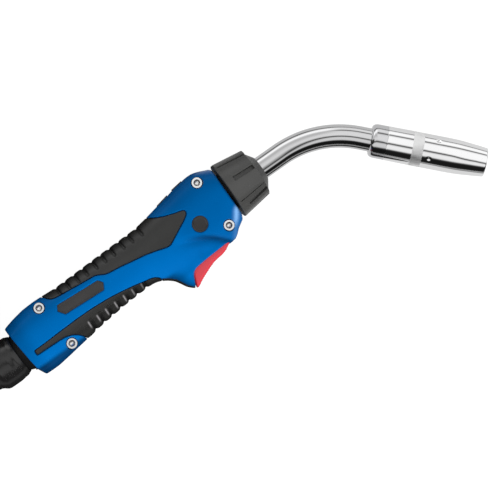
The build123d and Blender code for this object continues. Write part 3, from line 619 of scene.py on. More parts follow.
# ball seat, flare and cable way
rb = np.sqrt((g.X - BALL[0]) ** 2 + (g.Y - BALL[1]) ** 2 + g.Z ** 2)
rc = np.sqrt((g.Y - BALL[1]) ** 2 + g.Z ** 2)
shell = np.maximum(shell, 18.1 - rb)
cone = np.maximum((rc - (20.9 - (g.X + 201.6) * 0.755)) * 0.8, g.X + 196.7)
shell = np.maximum(shell, -cone)
shell = np.maximum(shell, -np.maximum(rc - 13.6, np.maximum(-188.0 - g.X, g.X + 176.0)))
# front opening and trigger slot
rn = np.sqrt(g.Y ** 2 + g.Z ** 2)
shell = np.maximum(shell, -np.maximum(rn - 13.5, -12.0 - g.X))
slot = np.maximum(np.maximum(np.abs(g.Z) - 7.5, cyl_z(g, PIVOT[0], PIVOT[1], 44.0)), np.maximum(g.Y + 22.0, np.maximum(-63.5 - g.X, g.X + 17.5)))
shell = np.maximum(shell, -slot)
shell = np.maximum(shell, -np.maximum(cyl_z(g, PIVOT[0], PIVOT[1], 1.52), g.Z - 10.5))
# places of the stepped insert on the back
for x0, x1 in ((-51.0, -40.5), (-35.0, -25.5)):
    ya, yb = float(np.interp(x0, *zip(*TOP))), float(np.interp(x1, *zip(*TOP)))
    line = ya + (g.X - x0) * (yb - ya) / (x1 - x0)
    pocket = np.maximum(np.maximum(x0 - g.X, g.X - x1), np.maximum(line - 2.25 - g.Y, g.Z - 3.25))
    shell = np.maximum(shell, -pocket)
right_f, left_f = shell, shell.copy()
for x, y in SCREWS:
    zs = surface_z(x, y)
    seat = zs - 5.2
    right_f = np.maximum(right_f, -np.maximum(cyl_z(g, x, y, 4.6), seat - g.Z))
    right_f = np.maximum(right_f, -cyl_z(g, x, y, 2.15))
    left_f = np.maximum(left_f, -np.maximum(hex_z(g, x, y, 3.6), (zs - 5.0) - g.Z))
    left_f = np.maximum(left_f, -cyl_z(g, x, y, 2.15))
rv, rf = biggest(*nets(right_f, g), least=400)
lv, lf = biggest(*nets(left_f, g), least=400)
right_shell = link("shell_right", rv, rf)
left_shell = link("shell_left", *mirrored(lv, lf))
del shell, right_f, left_f, hollow, slot, cone, rb, rc, rn, D, axis_r, ribs_in, d_strip

h = 0.42
gt = Grid((-165.5, -32.0), (-10.5, 20.5), (-1.0, 21.6), h)
Dt = outer_field(gt)
grip = smax(poly2d(TOP_GRIP, gt, 0.45)[:, :, None] + 0.5, Dt - upper_ribs(gt), 0.8)
grip = np.maximum(np.maximum(grip, -(Dt + 2.3)), 0.05 - gt.Z)
tv, tf = biggest(*nets(grip, gt), least=300)
del Dt, grip
gl = Grid((-193.0, -77.0), (-32.5, -10.5), (-1.0, 23.4), h)
Dl = outer_field(gl)
grip = smax(poly2d(LOW_GRIP, gl, 0.45)[:, :, None] + 0.5, Dl - lower_ribs(gl), 0.8)
grip = np.maximum(np.maximum(grip, -(Dl + 2.3)), 0.05 - gl.Z)
bv, bf = biggest(*nets(grip, gl), least=300)
del Dl, grip
gs = Grid((-81.5, -60.5), (-48.0, -22.5), (-1.0, 15.0), 0.27)
Ds = outer_field(gs)
grip = smax(poly2d(STRIP, gs, 0.12)[:, :, None] + 0.06, Ds - 0.12, 0.3)
grip = np.maximum(np.maximum(np.maximum(grip, -(Ds + 1.3)), 0.05 - gs.Z), -79.9 - gs.X)
sv, sf = biggest(*nets(grip, gs), least=100)
del Ds, grip
gp = Grid((-161.0, -115.5), (-8.5, 6.5), (15.0, 23.6), 0.3)
Dp = outer_field(gp)
lab_f = np.maximum(smax(poly2d(LABEL, gp, 0.3)[:, :, None] + 0.25, Dp + 0.18, 0.5), -(Dp + 0.75))
rim = np.abs(poly2d(LABEL, gp, 0.3)[:, :, None] + 1.15) - 0.28
lab_f = smax(lab_f, -np.maximum(rim, -(Dp + 0.36)), 0.2)
pv, pf = biggest(*nets(lab_f, gp), least=300)
ge = Grid((EMBLEM[0] - 8.0, EMBLEM[0] + 8.0), (EMBLEM[1] - 8.0, EMBLEM[1] + 8.0), (15.0, 23.6), 0.3)
De = outer_field(ge)
re_ = cyl_z(ge, EMBLEM[0], EMBLEM[1], 0.0)
emb_f = np.maximum(smax(re_ - 6.25, De + 0.1, 0.6), -(De + 0.75))
emb_f = smax(emb_f, -np.maximum(np.abs(re_ - 5.2) - 0.3, -(De + 0.4)), 0.2)
ev, ef = biggest(*nets(emb_f, ge), least=200)

right_top = link("grip_top_right", tv, tf)
left_top = link("grip_top_left", *mirrored(tv, tf))
right_low = link("grip_lower_right", bv, bf)
left_low = link("grip_lower_left", *mirrored(bv, bf))
right_strip = link("grip_strip_right", sv, sf)
left_strip = link("grip_strip_left", *mirrored(sv, sf))


def mark(ob, name, fn):
    """Painted shade and painted highlight values are written this way on the mesh points, from their place on the part.
    """
    me = ob.data
    c = np.zeros(len(me.vertices) * 3, np.float32)
    me.vertices.foreach_get("co", c)
    c = c.reshape(-1, 3) * 1000 + ORIGIN
    at = me.attributes.new(name, "FLOAT", "POINT")
    at.data.foreach_set("value", np.clip(fn(c[:, 0], c[:, 1], np.abs(c[:, 2])), 0, 1).astype(np.float32))


# painted shade: the grooves of the upper grip are darkened
def upper_shade(x, y, z):
    v = np.zeros_like(x)
    for x0 in UPPER_VALLEYS:
        d = x - x0 - (0.022 + 0.038 * (x0 + 150.0) / 76.0) * z
        v = np.maximum(v, np.exp(-((d - 0.9) / np.where(d < 0.9, 1.1, 2.0)) ** 2))
    low = 6.7 + 1.8 * (x + 150.0) / 76.0
    return v * ss(0.6, 4.6, y - low)


# painted shade: one wall of each lower groove is darkened
def lower_shade(x, y, z):
    v = np.zeros_like(x)
    for x0 in LOWER_VALLEYS:
        d = x - x0
        v = np.maximum(v, np.exp(-((d + 0.6) / np.where(d < -0.6, 0.9, 2.2)) ** 2))
    return v * (1 - ss(-21.4, -18.4, y - 0.03 * (x + 118.0)))


# painted highlight: a thin bright line beside each lower groove
def lower_glint(x, y, z):
    v = np.zeros_like(x)
    for x0 in LOWER_VALLEYS:
        v = np.maximum(v, np.exp(-((x - x0 + 2.5) / 0.55) ** 2))
    y = y - 0.03 * (x + 118.0)
    return v * (1 - ss(-20.0, -18.2, y)) * ss(-25.5, -22.5, y) * (0.85 - 0.45 * ss(-116, -96, x))



# painted shade: the front of the shell, a band along the crease, a band along the fin's edge and the rear end are
# darker
def shell_shade(x, y, z):
    line = np.interp(x, [p_[0] for p_ in CREASE[::-1]], [p_[1] for p_ in CREASE[::-1]])
    d = line - y
    v = 0.22 * ss(-60, -38, x) * (1 - 0.55 * ss(-2.0, 3.0, d) * (1 - ss(-30, -22, x)))
    v = v + 0.62 * np.exp(-((d + 2.2) / np.where(d < -2.2, 2.4, 4.6)) ** 2) * ss(-56, -30, x) * (1 - ss(-18.5, -16.5, x))
    edge = np.interp(y, [-45, -43.7, -41, -36.9, -32.7, -29.8, -26.6, -23.4], [-63, -65.2, -67.6, -69.8, -72.2, -74.6, -77.2, -80.6])
    v = v + 0.85 * np.exp(-(np.maximum(x - edge, 0) / (4.4 + 2.4 * ss(-38, -31, y))) ** 2) * (1 - ss(-29, -25, y)) * (x < -55)
    return v + 0.22 * (1 - ss(-195, -183, x))


# painted highlight: a pale streak down the lower front of the shell
def shell_glint(x, y, z):
    d = (x + 0.5) * 0.811 - (y + 11.6) * 0.585
    return np.exp(-((d + 1.2) / 2.1) ** 2) * (1 - ss(-15, -10.5, y)) * (1 - 0.8 * ss(20, 27, -y))


for ob in (right_shell, left_shell):
    mark(ob, "shade", shell_shade)
    mark(ob, "glint", shell_glint)
for ob in (right_top, left_top):
    mark(ob, "shade", upper_shade)
for ob in (right_low, left_low):
    mark(ob, "shade", lower_shade)
    mark(ob, "glint", lower_glint)
right_label = link("plate_right", pv, pf)
left_label = link("plate_left", *mirrored(pv, pf))
right_emblem = link("disc_right", ev, ef)
left_emblem = link("disc_left", *mirrored(ev, ef))

# ---------------------------------------------------------------------------
# trigger
# ---------------------------------------------------------------------------
gr = Grid((-63.0, -17.2), (-48.2, -23.2), (-8.2, 8.2), 0.38)
tri2 = poly2d(TRIGGER, gr, 0.35)
edge_y = np.interp(gr.xs, [p[0] for p in TRIGGER[:11]], [p[1] for p in TRIGGER[:11]]).astype(np.float32)
near_edge = 1 - ss(0.6, 2.2, gr.Y2 - edge_y[:, None])
saw = (0.5 - 0.5 * np.cos(2 * math.pi * gr.X2 / 1.7)) * ss(-59.0, -56.5, gr.X2) * (1 - ss(-27.0, -23.0, gr.X2))
tri2 = tri2 + 0.42 * saw * near_edge
trig_f = smax(tri2[:, :, None], np.abs(gr.Z) - 6.9, 2.6)
trig_f = np.maximum(trig_f, -cyl_z(gr, PIVOT[0], PIVOT[1], 1.56))
trig_f = np.maximum(trig_f, -np.maximum(cyl_z(gr, PIVOT[0], PIVOT[1], 3.5), np.abs(gr.Z) - 2.6))
vv, ff = biggest(*nets(trig_f, gr), least=300)
trigger = link("trigger_lever", vv, ff)

# ---------------------------------------------------------------------------
# union nut
# ---------------------------------------------------------------------------
gn = Grid((-1.6, 32.4), (-25.0, 25.0), (-25.0, 25.0), 0.42)
rho = np.sqrt(gn.Y ** 2 + gn.Z ** 2)
ang = np.degrees(np.arctan2(gn.Y + 0 * gn.Z, gn.Z + 0 * gn.Y))
r_wall = np.interp(gn.xs, [0.2, 25.0, 31.0], [23.1, 18.9, 17.8]).astype(np.float32)[:, None, None]
base = smax(smax((rho - r_wall) * 0.985, -0.6 - gn.X, 0.9), gn.X - 25.4, 0.7)
nose = np.maximum((rho - np.interp(gn.xs, [20.0, 25.4, 26.2, 31.4], [17.5, 17.2, 15.9, 8.3]).astype(np.float32)[:, None, None]) * 0.62,
                  np.maximum(gn.X - 31.4, 18.0 - gn.X))
nut_f = smin(base, nose, 0.25)
bars = None
for k in range(4):
    a0 = 58 + 90 * k
    mid = a0 + 10.5
    signed = (ang - mid + 180) % 360 - 180
    side = (np.abs(signed) - 10.5) * math.pi / 180 * np.maximum(rho, 5.0)
    raise_ = np.interp(gn.xs, [1.0, 25.0], [0.6, 1.15]).astype(np.float32)[:, None, None]
    if k == 3:
        raise_ = raise_ * (1 - ss(-5.0, 7.0, signed))
    bar = np.maximum(smax((rho - r_wall - raise_) * 0.985, side, 0.5), np.maximum(0.4 - gn.X, gn.X - 25.5))
    bars = bar if bars is None else np.minimum(bars, bar)
    groove = np.maximum(np.abs(side - 0.45) - 0.5, np.maximum(r_wall - 0.95 - rho, 1.6 - gn.X))
    if k == 3:
        groove = np.maximum(groove, signed)
    nut_f = smax(nut_f, -groove, 0.3)
nut_f = np.minimum(nut_f, bars)
for a in (13, -52, -117, 178, 113):
    da = np.abs((ang - a + 180) % 360 - 180)
    side = (da - 5.2) * math.pi / 180 * np.maximum(rho, 5.0)
    floor_r = np.interp(gn.xs, [5.0, 7.0, 28.0], [22.4, 19.9, 15.6]).astype(np.float32)[:, None, None]
    cut = np.maximum(np.maximum(side, floor_r - rho), np.maximum(7.0 - gn.X, gn.X - 24.6))
    nut_f = smax(nut_f, -cut, 0.25)
bore = np.maximum(rho - 15.1, gn.X - 14.6)
bore = np.minimum(bore, np.maximum(rho - 14.45, gn.X - 21.6))
bore = np.minimum(bore, rho - 9.4)
nut_f = smax(nut_f, -bore, 0.4)
vv, ff = biggest(*nets(nut_f, gn), least=300)
union = link("union_nut_body", vv, ff)
del nut_f, bars, base, nose, rho, ang, groove, signed

# ---------------------------------------------------------------------------
# neck, collar, nozzle
# ---------------------------------------------------------------------------
BEND_R, BEND = 80.0, math.radians(46.07)
AX = np.array([math.cos(BEND), -math.sin(BEND), 0.0])
NOZ0 = np.array([48.2 + BEND_R * math.sin(BEND), -BEND_R + BEND_R * math.cos(BEND), 0.0]) + AX * 8.7


def neck_line(x0, extra=0.0):
    """Points and directions down the neck."""
    pts = []
    for x in np.linspace(x0, 48.2, 14)[:-1]:
        pts.append(((x, 0.0), (1.0, 0.0)))
    for t in np.linspace(0, BEND, 61):
        pts.append(((48.2 + BEND_R * math.sin(t), -BEND_R + BEND_R * math.cos(t)), (math.cos(t), -math.sin(t))))
    end = NOZ0 + AX * extra
    last = pts[-1][0]
    for t in np.linspace(0, 1, 4)[1:]:
        pts.append(((last[0] + (end[0] - last[0]) * t, last[1] + (end[1] - last[1]) * t), (AX[0], AX[1])))
    return pts


def pipe(name, line, ro, ri, seg=96):
    rings = []
    ang_ = np.linspace(0, 2 * math.pi, seg, endpoint=False)
    def ring(p, d, r):
        n = np.array([-d[1], d[0], 0.0])
        z = np.array([0.0, 0.0, 1.0])
        c = np.array([p[0], p[1], 0.0])
        return c + r * (np.cos(ang_)[:, None] * z + np.sin(ang_)[:, None] * n)
    for p, d in line:
        rings.append(ring(p, d, ro))
    for p, d in reversed(line):
        rings.append(ring(p, d, ri))
    n = len(rings)
    V = np.concatenate(rings)
    i = np.arange(n)[:, None]
    j = np.arange(seg)[None, :]
    a = i * seg + j
    b = i * seg + (j + 1) % seg
    c = ((i + 1) % n) * seg + (j + 1) % seg
    d = ((i + 1) % n) * seg + j
    F = np.stack([a, b, c, d], -1).reshape(-1, 4)
    return link(name, V, F, sharp=40)


neck = pipe("neck_pipe", neck_line(20.6), 9.0, 7.6, 128)

collar_prof = rounded([(-0.6, 9.04), (-0.6, 10.2), (-0.3, 11.0), (0.4, 11.9), (1.5, 12.6), (2.8, 12.95), (4.2, 13.05), (11.5, 13.08), (11.6, 13.04),
                       (11.6, 6.4), (3.0, 6.4), (3.0, 9.04)], 0.2, 2)
collar = lathe("nozzle_collar", collar_prof, NOZ0, AX, 128)


def fine_profile(points, step):
    """The open polyline with points about step apart."""
    out = []
    for (s0, r0), (s1, r1) in zip(points, points[1:]):
        n = max(1, int(math.ceil(math.hypot(s1 - s0, r1 - r0) / step)))
        out += [(s0 + (s1 - s0) * k / n, r0 + (r1 - r0) * k / n) for k in range(n)]
    return out + [points[-1]]


def chaikin(points, rounds=2):
    pts = [np.array(p, float) for p in points]
    for _ in range(rounds):
        new = [pts[0]]
        for a, b in zip(pts, pts[1:]):
            new += [a * 0.75 + b * 0.25, a * 0.25 + b * 0.75]
        new.append(pts[-1])
        pts = new
    return [tuple(p) for p in pts]


nozzle_out = [(11.66, 12.4), (11.66, 13.04), (11.8, 13.08)] + fine_profile([(12.6, 13.1), (30.0, 13.26), (58.0, 13.26)], 0.7)[:-1]
nozzle_out += fine_profile(chaikin([(58, 13.26), (65, 13.2), (70, 12.95), (75, 12.52), (79, 12.15), (82.6, 11.85), (88.8, 11.2)], 2), 0.7)
nozzle_out += [(89.4, 11.05), (89.75, 10.6), (89.8, 10.1), (89.8, 8.5), (89.6, 8.1), (89.2, 8.0)]
nozzle_in = [(84.8, 8.0), (81.8, 8.0), (81.3, 8.15), (70.3, 10.5), (69.8, 10.66), (50.0, 10.66), (30.0, 10.66), (11.9, 10.66), (11.66, 10.9)]
DIMPLES = [(45.2, -32.0), (45.2, 88.0), (45.2, -152.0), (50.7, 37.0), (50.7, 157.0), (50.7, -83.0)]


def dimple(s, r, a):
    """Small pressed dimples in the outer face of the nozzle."""
    out = np.zeros_like(s)
    outer = r > 12.9
    deg = np.degrees(a)
    for s0, a0 in DIMPLES:
        da = (deg + a0 + 180) % 360 - 180
        dist = np.hypot(s - s0, da * math.pi / 180 * 13.2)
        out -= np.where(outer, 0.75 * np.exp(-(dist / 1.15) ** 2.4), 0)
    return out


nozzle = lathe("gas_nozzle_cup", nozzle_out + nozzle_in, NOZ0, AX, 160, push=dimple)

# ---------------------------------------------------------------------------
# screws: heads with hex sockets, seen from above, and shanks
# ---------------------------------------------------------------------------
def screw_mesh(x, y):
    zs = surface_z(x, y)
    top, seat = zs - 1.6 + 0.0, zs - 5.2
    nut_floor = -(zs - 5.0)
    seg = 48
    parts_v, parts_f = [], []
    prof = [(0.0, nut_floor - 3.0), (1.7, nut_floor - 3.0), (2.0, nut_floor - 2.7), (2.0, seat), (3.85, seat), (4.2, seat + 0.35),
            (4.2, top - 0.5), (4.1, top - 0.2), (3.9, top), (2.62, top), (2.36, top - 0.3)]
    ang_ = np.linspace(0, 2 * math.pi, seg, endpoint=False)
    V, F = [], []
    V.append((x, y, prof[0][1]))
    for r, z in prof[1:]:
        for a in ang_:
            V.append((x + r * math.cos(a), y + r * math.sin(a), z))
    # hex socket walls and a bowl-shaped floor
    def hex_r(a, ap):
        b = (a + math.pi / 6) % (math.pi / 3) - math.pi / 6
        return ap / math.cos(b)
    for ap, z in ((1.78, top - 0.75), (1.75, top - 2.15), (1.35, top - 2.3), (0.7, top - 2.75)):
        for a in ang_:
            r = hex_r(a, ap)
            V.append((x + r * math.cos(a), y + r * math.sin(a), z))
    V.append((x, y, top - 2.85))
    rings = len(prof) - 1 + 4
    for j in range(seg):
        F.append((0, 1 + (j + 1) % seg, 1 + j))
    for i in range(rings - 1):
        for j in range(seg):
            a, b = 1 + i * seg + j, 1 + i * seg + (j + 1) % seg
            F.append((a, b, b + seg, a + seg))
    last = 1 + (rings - 1) * seg
    for j in range(seg):
        F.append((last + j, last + (j + 1) % seg, len(V) - 1))
    return np.array(V), F


screws = join("socket_screws", [screw_mesh(x, y) for x, y in SCREWS])
screw_polys = len(screw_mesh(*SCREWS[0])[1])

# ---------------------------------------------------------------------------
# boot, coil straps and connector bend guard of the hose
# ---------------------------------------------------------------------------
HOSE_AXIS = np.array([-math.cos(DROOP), 0.0, -math.sin(DROOP)])


def boot_push(s, r, a):
    """A few soft rings on the tail of the boot."""
    on = (r > 12.5) & (s > 36.0)
    wave = 0.5 - 0.5 * np.cos(2 * math.pi * (s - 36.0) / 3.4)
    return np.where(on, -0.4 * wave * (1 - smooth01((s - 46.0) / 3.0)), 0.0)


boot_out = [(8.75, 15.05), (8.55, 15.25), (8.62, 15.55), (9.1, 15.8), (10.3, 16.25), (11.3, 16.85), (12.2, 17.1), (13.2, 17.15)]
boot_out += fine_profile([(14.2, 17.2), (17.5, 17.75), (20.0, 17.85), (27.5, 17.8)], 0.6)[:-1]
boot_out += fine_profile(chaikin([(27.5, 17.8), (30.0, 17.2), (33.0, 14.6), (36.0, 13.7), (45, 13.5), (49.6, 13.35)], 2), 0.5)
boot_out += [(49.95, 13.1), (50.0, 12.6), (49.8, 12.05)]
boot = lathe("tail_boot", boot_out + [(40.0, 12.02), (40.0, 6.0), (20.0, 6.0), (20.0, 12.35), (10.35, 12.35), (10.35, 13.75), (9.5, 14.42)],
             BALL, HOSE_AXIS, 128, push=boot_push)


def strap(angle_deg):
    """A flat strap round the four turns at an angle of the coil."""
    a = math.radians(angle_deg)
    er, et = np.array([math.cos(a), math.sin(a), 0.0]), np.array([-math.sin(a), math.cos(a), 0.0])
    c = np.array([COIL_C[0] + 120 * math.cos(a), COIL_C[1] + 120 * math.sin(a), ORIGIN[2] + 24.0])
    pts = []
    half, rad = 24.35, 11.6
    for cx, cz, a0 in ((1, 1, 0), (-1, 1, 90), (-1, -1, 180), (1, -1, 270)):
        for k in range(13):
            t = math.radians(a0 + 90 * k / 12)
            pts.append((cx * (half - rad) + rad * math.cos(t), cz * (half - rad) + rad * math.sin(t), math.cos(t), math.sin(t)))
    V, F = [], []
    prof = rounded([(0.0, -4.5), (1.15, -4.5), (1.15, 4.5), (0.0, 4.5)], 0.3, 2)
    m = len(prof)
    n = len(pts)
    for px, pz, nx_, nz_ in pts:
        lift = 0.0
        if pz < -23.0:
            lift = 0.25
        for o, w in prof:
            oo = o if pz > -20 else min(o, 0.0)
            V.append(c + er * (px + nx_ * o) + np.array([0, 0, 1.0]) * max(pz + nz_ * o, -23.95 + 0.0 * lift) + et * w)
    for i in range(n):
        for j in range(m):
            F.append((i * m + j, i * m + (j + 1) % m, ((i + 1) % n) * m + (j + 1) % m, ((i + 1) % n) * m + j))
    F = [f[::-1] for f in F]
    V = np.array(V)
    # corners of a box for the tail and buckle on the outside face; the box is not added to the strap mesh
    bx = []
    for sx, sy, sz in ((0, 0, 0), (1, 0, 0), (1, 1, 0), (0, 1, 0), (0, 0, 1), (1, 0, 1), (1, 1, 1), (0, 1, 1)):
        bx.append(c + er * (23.2 + 3.2 * sx) + et * (-5.6 + 11.2 * sy) + np.array([0, 0, 1.0]) * (-5.0 + 9.0 * sz))
    return (V, F)


ties = join("coil_straps", [strap(215), strap(145)])

# bend guard of the connector: a ribbed rubber sleeve
def guard_push(s, r, a):
    on = (s > 3.0) & (s < 31.0) & (r > 12.4)
    wave = np.clip(np.cos(2 * math.pi * (s - 3.0) / 4.6) * 1.6, -1, 1)
    return np.where(on, -0.7 + 0.7 * wave, 0.0)


guard_prof = fine_profile([(0.0, 13.2), (20.0, 15.0), (30.0, 16.5), (33.2, 18.0)], 0.4)[:-1] + [(33.4, 18.1), (34.2, 18.4), (37.6, 18.4), (37.95, 18.1), (37.95, 12.05), (0.0, 12.05)]
guard = lathe("connector_sleeve", guard_prof, CONN, CONN_DIR, 96, push=guard_push)

# ---------------------------------------------------------------------------
# materials
# ---------------------------------------------------------------------------
def srgb(r, g_, b):
    def f(c):
        c = c / 255.0
        return c / 12.92 if c <= 0.04045 else ((c + 0.055) / 1.055) ** 2.4
    return (f(r), f(g_), f(b), 1.0)


class Nodes:
    def __init__(self, name):
        self.m = bpy.data.materials.new(name)
        self.m.use_nodes = True
        self.t = self.m.node_tree
        self.t.nodes.clear()
        self.out = self.t.nodes.new("ShaderNodeOutputMaterial")
        self.b = self.t.nodes.new("ShaderNodeBsdfPrincipled")
        self.t.links.new(self.b.outputs[0], self.out.inputs["Surface"])
        self.tc = self.t.nodes.new("ShaderNodeTexCoord")

    def new(self, kind, **props):
        n = self.t.nodes.new(kind)
        for k, v in props.items():
            setattr(n, k, v)
        return n

    def link(self, a, b):
        self.t.links.new(a, b)

    def noise(self, scale, detail=3.0, rough=0.55, stretch=None, w=None):
        n = self.new("ShaderNodeTexNoise")
        n.inputs["Scale"].default_value = scale
        n.inputs["Detail"].default_value = detail
        n.inputs["Roughness"].default_value = rough
        src = self.tc.outputs["Object"]
        if stretch is not None:
            mp = self.new("ShaderNodeMapping")
            mp.inputs["Scale"].default_value = stretch
            if w is not None:
                mp.inputs["Rotation"].default_value = w
            self.link(src, mp.inputs["Vector"])
            src = mp.outputs["Vector"]
        self.link(src, n.inputs["Vector"])
        return n.outputs["Fac"]

    def ramp(self, fac, stops, interp="LINEAR"):
        r = self.new("ShaderNodeValToRGB")
        r.color_ramp.interpolation = interp
        e = r.color_ramp.elements
        while len(e) < len(stops):
            e.new(0.5)
        for el, (p, c) in zip(e, stops):
            el.position = p
            el.color = c if len(c) == 4 else (*c, 1.0)
        self.link(fac, r.inputs["Fac"])
        return r.outputs["Color"]

    def range(self, fac, a, b, c, d):
        m = self.new("ShaderNodeMapRange")
        for k, v in zip(("From Min", "From Max", "To Min", "To Max"), (a, b, c, d)):
            m.inputs[k].default_value = v
        self.link(fac, m.inputs["Value"])
        return m.outputs["Result"]

    def mixc(self, fac, a, b, blend="MIX"):
        m = self.new("ShaderNodeMix", data_type="RGBA", blend_type=blend)
        for sock, v in ((m.inputs[0], fac), (m.inputs[6], a), (m.inputs[7], b)):
            if isinstance(v, (float, int)):
                sock.default_value = v
            elif isinstance(v, tuple):
                sock.default_value = v
            else:
                self.link(v, sock)
        return m.outputs[2]

    def bump(self, height, dist, strength=1.0, after=None):
        b = self.new("ShaderNodeBump")
        b.inputs["Strength"].default_value = strength
        b.inputs["Distance"].default_value = dist
        self.link(height, b.inputs["Height"])
        if after is not None:
            self.link(after, b.inputs["Normal"])
        return b.outputs["Normal"]

    def edges(self, lo=0.52, hi=0.6):
        g_ = self.new("ShaderNodeNewGeometry")
        return self.range(g_.outputs["Pointiness"], lo, hi, 0.0, 1.0)


def scale_c(c, k):
    return (min(1.0, c[0] * k), min(1.0, c[1] * k), min(1.0, c[2] * k), 1.0)


def moulded(name, colour, rough=0.4, grain=1400, grain_mm=0.02, vary=0.06, spec=0.5, wear=0.0, wear_c=None, sheen=0.0, tint=None, crevice_shade=0.0, lit_c=None, lit_k=0.0):
    """Moulded plastic or rubber: slight tone drift, spark-eroded grain, rubbed edges; where asked, painted shade in
    crevices, and painted shade and painted highlights read from the mesh's shade and glint values.
    """
    k = Nodes(name)
    tone = k.noise(28.0, 4.0)
    col = k.ramp(tone, [(0.3, scale_c(colour, 1 - vary)), (0.7, scale_c(colour, 1 + vary))])
    if wear > 0:
        scuff = k.noise(260.0, 5.0, 0.7)
        spots = k.range(scuff, 0.52, 0.72, 0.0, 1.0)
        e = k.edges(0.515, 0.6)
        mul = k.new("ShaderNodeMath", operation="MULTIPLY")
        k.link(e, mul.inputs[0])
        k.link(spots, mul.inputs[1])
        mul2 = k.new("ShaderNodeMath", operation="MULTIPLY")
        k.link(mul.outputs[0], mul2.inputs[0])
        mul2.inputs[1].default_value = wear
        col = k.mixc(mul2.outputs[0], col, wear_c or scale_c(colour, 1.5))
    # painted shade: concave places, found from Pointiness, are darkened
    if crevice_shade > 0:
        g_ = k.new("ShaderNodeNewGeometry")
        col = k.mixc(k.range(g_.outputs["Pointiness"], 0.40, 0.485, crevice_shade, 0.0), col, scale_c(colour, 0.12))
    # painted shade and painted highlights from the mesh's shade and glint values
    if lit_c is not None:
        dark = k.new("ShaderNodeAttribute", attribute_name="shade")
        lit = k.new("ShaderNodeAttribute", attribute_name="glint")
        col = k.mixc(k.range(dark.outputs["Fac"], 0.0, 1.0, 0.0, 0.92), col, scale_c(colour, 0.13))
        col = k.mixc(k.range(lit.outputs["Fac"], 0.0, 1.0, 0.0, lit_k), col, lit_c)
    k.link(col, k.b.inputs["Base Color"])
    if tint is not None:
        k.b.inputs["Specular Tint"].default_value = tint
    fine = k.noise(grain, 2.0, 0.6)
    k.link(k.range(k.noise(90.0, 4.0), 0.3, 0.7, rough - 0.05, rough + 0.06), k.b.inputs["Roughness"])
    n = k.bump(fine, grain_mm / 1000.0, 1.0)
    k.link(n, k.b.inputs["Normal"])
    k.b.inputs["Specular IOR Level"].default_value = spec
    if sheen:
        k.b.inputs["Sheen Weight"].default_value = sheen
        k.b.inputs["Sheen Roughness"].default_value = 0.5
    return k.m


def plated(name, colour, rough=0.08, vary=0.03, scratch=0.004, grain=900, stretch=(1, 1, 1), brushed=0.0):
    """Polished or plated metal: tone drift, faint scratches, some roughness variation."""
    k = Nodes(name)
    tone = k.noise(35.0, 4.0)
    k.link(k.ramp(tone, [(0.3, scale_c(colour, 1 - vary)), (0.7, scale_c(colour, 1 + vary))]), k.b.inputs["Base Color"])
    k.b.inputs["Metallic"].default_value = 1.0
    k.link(k.range(k.noise(120.0, 5.0, 0.6), 0.3, 0.75, max(0.02, rough * 0.8), rough * 1.35), k.b.inputs["Roughness"])
    fine = k.noise(grain, 3.0, 0.65, stretch=stretch)
    n = k.bump(fine, scratch / 1000.0, 1.0)
    if brushed:
        n = k.bump(k.noise(grain * 3, 2.0, 0.6, stretch=stretch), brushed / 1000.0, 1.0, after=n)
    k.link(n, k.b.inputs["Normal"])
    return k.m


M = {}
# The blue and grip materials paint shade and highlights from the mesh values; the grip and grey nylon materials paint
# shade into crevices.
M["blue"] = moulded("blue_moulding", (0.0, 0.104, 0.350, 1), 0.27, 1500, 0.004, 0.03, 0.28, 0.25, (0.12, 0.34, 0.75, 1), tint=(0.0, 0.36, 0.9, 1),
                    lit_c=srgb(150, 200, 250), lit_k=0.55)
M["grip"] = moulded("grip_elastomer", srgb(30, 30, 29), 0.40, 1300, 0.02, 0.10, 0.5, 0.35, srgb(75, 75, 73), crevice_shade=0.8,
                    lit_c=srgb(160, 158, 160), lit_k=0.7)
M["plate"] = moulded("bare_plate", srgb(34, 32, 32), 0.30, 2400, 0.003, 0.08, 0.5)
M["trigger"] = moulded("red_moulding", (0.56, 0.034, 0.05, 1), 0.34, 1500, 0.006, 0.04, 0.5, 0.3, srgb(250, 130, 135))
M["nut"] = moulded("grey_glass_nylon", srgb(60, 60, 59), 0.40, 1000, 0.02, 0.09, 0.5, 0.45, srgb(125, 125, 123), crevice_shade=0.85)
M["black"] = moulded("black_moulding", srgb(24, 24, 25), 0.38, 1300, 0.012, 0.10, 0.5, 0.2, srgb(55, 55, 55))
M["boot"] = moulded("boot_rubber", srgb(23, 23, 23), 0.22, 900, 0.006, 0.10, 0.5)
# near-black painted shadow for parts set deep inside the handle
M["shade_black"] = moulded("shadowed_black", srgb(12, 12, 12), 0.55, 1300, 0.01, 0.10, 0.3)
M["hose"] = moulded("hose_rubber", srgb(34, 34, 35), 0.55, 700, 0.05, 0.15, 0.4)
M["strap"] = moulded("strap_fabric", srgb(38, 38, 40), 0.8, 1600, 0.12, 0.2, 0.2, sheen=0.3)
M["wire"] = moulded("wire_jacket", srgb(120, 30, 30), 0.4, 1500, 0.01, 0.08, 0.5)
M["insul"] = moulded("insulator", srgb(205, 196, 176), 0.5, 1200, 0.02, 0.05, 0.4)
M["neck"] = plated("neck_nickel", (0.60, 0.60, 0.605, 1), 0.07, 0.02, 0.0006, 500)
M["nozzle"] = plated("nozzle_chrome", (0.84, 0.84, 0.845, 1), 0.05, 0.02, 0.0005, 500)
M["collar"] = plated("collar_chrome", (0.60, 0.60, 0.61, 1), 0.06, 0.02, 0.0006, 500)
M["matt"] = plated("matt_band", (0.90, 0.90, 0.90, 1), 0.55, 0.04, 0.01, 1400, brushed=0.01)
M["screw"] = plated("zinc_screw", (0.90, 0.90, 0.89, 1), 0.24, 0.04, 0.002, 900)
